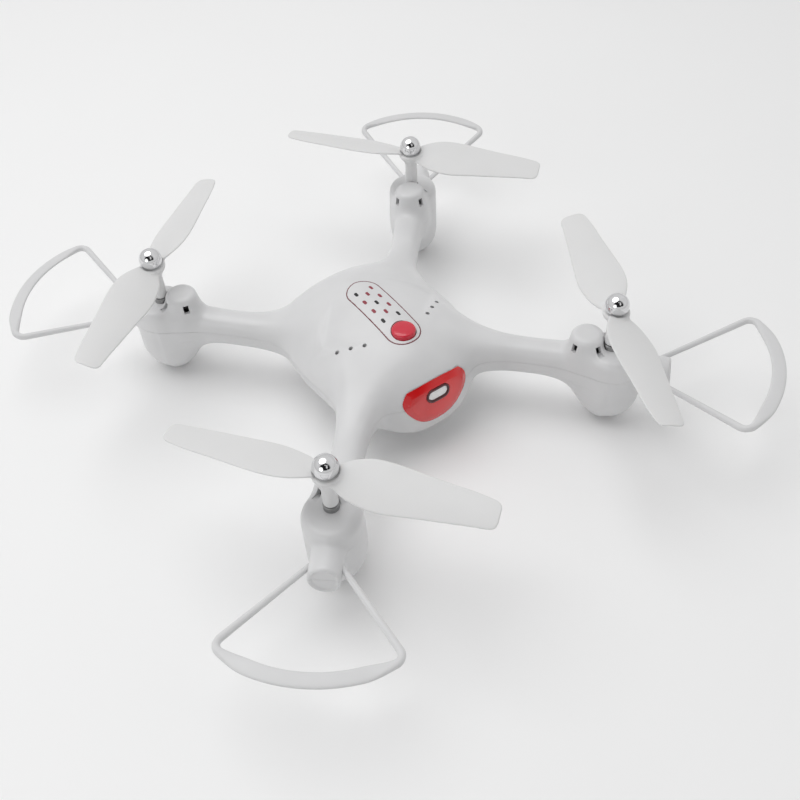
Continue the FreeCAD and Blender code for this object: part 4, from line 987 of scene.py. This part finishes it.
def build_rotors():
    step = 0.27
    reach = BLADE_TIP + 1.5
    low, high = (-reach, -11.0, HUB_LOW - 1), (reach, 11.0, 58)
    template = modelled("propeller_form", propeller_field, low, high, step)
    ball = [(0, HUB_RIM + 0.01)]
    start = math.degrees(math.asin((HUB_RIM - BALL_Z) / BALL_RADIUS))
    ball += arc((0, BALL_Z), BALL_RADIUS, start, 90, 40)
    ball[-1] = (0, BALL_Z + BALL_RADIUS)
    for pod in PODS:
        x, y = SHAFT[pod]
        angle = math.radians(REST_ANGLES[pod])
        piece = twin(template, "rotor_blades_" + pod)
        if pod in ("fl", "rr"):
            piece.data.transform(Matrix.Scale(-1, 4, (0, 1, 0)))
            piece.data.flip_normals()
        piece.data.transform(Matrix.Translation((x * MM, y * MM, 0)) @ Matrix.Rotation(angle, 4, "Z"))
        place_piece(piece, "rotor_" + pod, ["propeller_" + pod], PROP_WHITE)
        points, faces = turned(ball, 96)
        cap = mesh_object("chrome_ball_" + pod, [(px + x, py + y, pz) for px, py, pz in points], faces)
        crisp(cap, 40)
        place_piece(cap, "rotor_" + pod, ["spinner_cap_" + pod], CHROME)
    bpy.data.objects.remove(template)


# ---------------------------------------------------------------- guards
GUARD_REACH = 59.5
CORNER_RADIUS = 3.5
CORNER_OUT, CORNER_SIDE = 49.0, 23.8
ROOT_OUT, ROOT_SIDE = 16.0, 4.4
GUARD_RISE = {"fl": 10.6, "fr": 8.8, "rl": 10.0, "rr": 8.4}
BAND_TILT = 22.0
ROD_ROOT, ROD_CORNER = 0.98, 1.25
BAND_WIDTH, BAND_THICK = 5.0, 1.3


def guard_line():
    """Half the guard's line from the middle of the bow to the leg's root, in its own plane."""
    reach = GUARD_REACH - CORNER_RADIUS
    centre = (reach ** 2 - CORNER_OUT ** 2 - CORNER_SIDE ** 2) / (2 * (reach - CORNER_OUT))
    bow = GUARD_REACH - centre
    spread = math.atan2(CORNER_SIDE, CORNER_OUT - centre)
    length = math.hypot(ROOT_OUT - CORNER_OUT, ROOT_SIDE - CORNER_SIDE)
    bearing = math.atan2(ROOT_SIDE - CORNER_SIDE, ROOT_OUT - CORNER_OUT)
    leg_turn = bearing - math.acos(CORNER_RADIUS / length)
    if leg_turn < 0:
        leg_turn += 2 * math.pi
    line = []
    for i in range(41):
        turn = spread * i / 40
        line.append((centre + bow * math.cos(turn), bow * math.sin(turn)))
    for i in range(1, 17):
        turn = spread + (leg_turn - spread) * i / 16
        out = CORNER_OUT + CORNER_RADIUS * math.cos(turn)
        line.append((out, CORNER_SIDE + CORNER_RADIUS * math.sin(turn)))
    start = line[-1]
    for i in range(1, 25):
        share = i / 24
        line.append((start[0] + (ROOT_OUT - start[0]) * share, start[1] + (ROOT_SIDE - start[1]) * share))
    return np.array(line)


def guard_form(slope):
    """The whole guard: a rod that widens into a thin sloping band along the bow."""
    half = guard_line()
    line = np.concatenate([half[::-1] * (1, -1), half[1:]])
    steps = np.concatenate([[0], np.cumsum(np.linalg.norm(np.diff(line, axis=0), axis=1))])
    from_middle = np.abs(steps - steps[-1] / 2)
    bow_end = np.linalg.norm(np.diff(half[:41], axis=0), axis=1).sum()
    share = np.clip((bow_end + 3.0 - from_middle) / 13.0, 0, 1)
    share = share * share * (3 - 2 * share)
    leg = np.clip((from_middle - bow_end - 6.0) / (steps[-1] / 2 - bow_end - 6.0), 0, 1)
    rod = ROD_CORNER + (ROD_ROOT - ROD_CORNER) * leg
    forward = np.gradient(line, axis=0)
    forward /= np.linalg.norm(forward, axis=1)[:, None]
    outer = np.stack([forward[:, 1], -forward[:, 0]], 1)
    sides = 20
    vertices = []
    for i in range(len(line)):
        wide = rod[i] + (BAND_WIDTH / 2 - rod[i]) * share[i]
        thick = rod[i] + (BAND_THICK / 2 - rod[i]) * share[i]
        power = 2.0 + 1.2 * share[i]
        tilt = slope * share[i]
        for j in range(sides):
            turn = 2 * math.pi * j / sides
            across = wide * math.copysign(abs(math.cos(turn)) ** (2 / power), math.cos(turn))
            up = thick * math.copysign(abs(math.sin(turn)) ** (2 / power), math.sin(turn))
            out = across * math.cos(tilt) + up * math.sin(tilt)
            high = up * math.cos(tilt) - across * math.sin(tilt)
            x, y = line[i] + outer[i] * out
            vertices.append((x - ROOT_OUT, y, high))
    faces = []
    for i in range(len(line) - 1):
        for j in range(sides):
            k = (j + 1) % sides
            a, b = i * sides, (i + 1) * sides
            faces.append((a + j, b + j, b + k, a + k))
    faces.append(tuple(range(sides)))
    faces.append(tuple(reversed(range((len(line) - 1) * sides, len(line) * sides))))
    return vertices, faces


def build_guards():
    for pod in PODS:
        form = guard_form(math.radians(BAND_TILT - GUARD_RISE[pod]))
        facing = math.atan2(OUTWARD[pod][1], OUTWARD[pod][0])
        root = Vector(local(pod, ROOT_OUT, 0, SPLIT_Z))
        matrix = (Matrix.Translation(root) @ Matrix.Rotation(facing, 4, "Z")
                  @ Matrix.Rotation(math.radians(-GUARD_RISE[pod]), 4, "Y"))
        points, faces = moved(form, matrix)
        piece = mesh_object("guard_bow_" + pod, points, faces)
        crisp(piece, 50)
        place_piece(piece, "airframe", ["prop_guard_" + pod], GUARD_WHITE)


# ---------------------------------------------------------------- carried-over parts
def soften(node, width):
    """A fine bevel on a CAD node's edges, as a modifier."""
    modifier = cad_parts[node].modifiers.new("edge", "BEVEL")
    modifier.width = width * MM
    modifier.segments = 2
    modifier.limit_method = "ANGLE"
    modifier.angle_limit = math.radians(50)


def dress_frame():
    finishes = {
        "battery_door": WHITE, "flight_control_board": BOARD, "control_chips": BLACK,
        "button_switch": BLACK,
        "battery_pack": WRAP, "battery_connector": NYLON, "camera_module": BLACK, "door_hinge_pin": STEEL,
        "shell_screws": ZINC, "guard_screws": ZINC, "board_screws": ZINC,
    }
    for node, material in finishes.items():
        dress_node(node, material)
    for pod in PODS:
        for node, material in (("motor_can", CAN), ("shaft_bushes", COLLAR_GREY), ("foot_pad", RUBBER),
                               ("prop_shaft", STEEL), ("drive_gear", NYLON), ("motor_pinion", BRASS)):
            dress_node(f"{node}_{pod}", material)
    soften("battery_door", 0.25)


# ---------------------------------------------------------------- studio
def build_floor():
    bpy.ops.mesh.primitive_plane_add(size=6.0, location=(0, 0, -0.0002))
    floor = bpy.context.object
    floor.name = "studio_floor"
    material, tree, shader = nodes_of("pale_floor")
    cloud = noise(tree, 9.0, 2.0)
    tree.links.new(mixed(tree, cloud, (0.93, 0.93, 0.93), (0.95, 0.95, 0.95)), shader.inputs["Base Color"])
    shader.inputs["Roughness"].default_value = 0.8
    floor.data.materials.append(material)


def build_world():
    """A bright, plain room with one dark patch."""
    world = bpy.data.worlds.new("studio")
    world.use_nodes = True
    tree = world.node_tree
    back = tree.nodes["Background"]
    place = add(tree, "ShaderNodeTexCoord")
    split = add(tree, "ShaderNodeSeparateXYZ")
    tree.links.new(place.outputs["Generated"], split.inputs["Vector"])
    sky = ramp(tree, split.outputs["Z"], 0.0, 1.0, -0.05, 0.5)
    white_room = mixed(tree, sky, (0.86, 0.86, 0.86), (1.0, 1.0, 1.0))
    # A dark, broken patch of the room behind the camera, for the chrome to mirror.
    facing = add(tree, "ShaderNodeVectorMath", operation="DOT_PRODUCT")
    facing.inputs[1].default_value = (-0.43, -0.69, 0.58)
    tree.links.new(place.outputs["Generated"], facing.inputs[0])
    patch = ramp(tree, facing.outputs["Value"], 0.0, 1.0, 0.62, 0.78)
    high = ramp(tree, split.outputs["Z"], 0.0, 1.0, 0.32, 0.40)
    clutter = add(tree, "ShaderNodeTexNoise")
    clutter.inputs["Scale"].default_value = 3.2
    clutter.inputs["Detail"].default_value = 1.0
    tree.links.new(place.outputs["Generated"], clutter.inputs["Vector"])
    broken = add(tree, "ShaderNodeMath", operation="MULTIPLY")
    tree.links.new(patch, broken.inputs[0])
    tree.links.new(ramp(tree, clutter.outputs["Fac"], 0.0, 1.0, 0.34, 0.42), broken.inputs[1])
    dark = add(tree, "ShaderNodeMath", operation="MULTIPLY")
    tree.links.new(broken.outputs[0], dark.inputs[0])
    tree.links.new(high, dark.inputs[1])
    tree.links.new(mixed(tree, dark.outputs[0], white_room, (0.02, 0.02, 0.022)), back.inputs["Color"])
    back.inputs["Strength"].default_value = 0.73
    bpy.context.scene.world = world


def lamp(name, place, aim, size, power):
    """A round area lamp; places and sizes in metres."""
    data = bpy.data.lights.new(name, "AREA")
    data.shape = "DISK"
    data.size = size
    data.energy = power
    piece = bpy.data.objects.new(name, data)
    piece.location = place
    piece.rotation_euler = (Vector(aim) - Vector(place)).to_track_quat("-Z", "Y").to_euler()
    bpy.context.scene.collection.objects.link(piece)


def build_lamps():
    lamp("overhead", (-0.15, 0.25, 0.9), (0, 0, 0), 0.9, 3.6)
    lamp("left_fill", (-0.9, -0.4, 0.5), (0, 0, 0.02), 0.6, 1.2)


def build_camera():
    """The camera stands in front of the nose on the drone's right, looking down, slightly rolled."""
    azimuth, elevation, roll = math.radians(-32.05), math.radians(47.37), math.radians(-3.77)
    back = Vector((math.sin(azimuth) * math.cos(elevation), -math.cos(azimuth) * math.cos(elevation),
                   math.sin(elevation)))
    right = Vector((math.cos(azimuth), math.sin(azimuth), 0))
    up = back.cross(right)
    right_rolled = right * math.cos(roll) + up * math.sin(roll)
    up_rolled = up * math.cos(roll) - right * math.sin(roll)
    data = bpy.data.cameras.new("view")
    data.sensor_width = 36.0
    data.lens = 44.7
    camera = bpy.data.objects.new("view", data)
    rotation = Matrix((right_rolled, up_rolled, back)).transposed().to_4x4()
    camera.matrix_world = Matrix.Translation((-0.1410, -0.2372, 0.2893)) @ rotation
    bpy.context.scene.collection.objects.link(camera)
    bpy.context.scene.camera = camera


scene = bpy.context.scene
scene.view_settings.view_transform = "Standard"
build_camera()
build_floor()
build_world()
build_lamps()
upper_shell, lower_shell = build_shells()
finish_shells(upper_shell, lower_shell)
build_visor()
build_panel()
build_button()
build_rotors()
build_guards()
dress_frame()
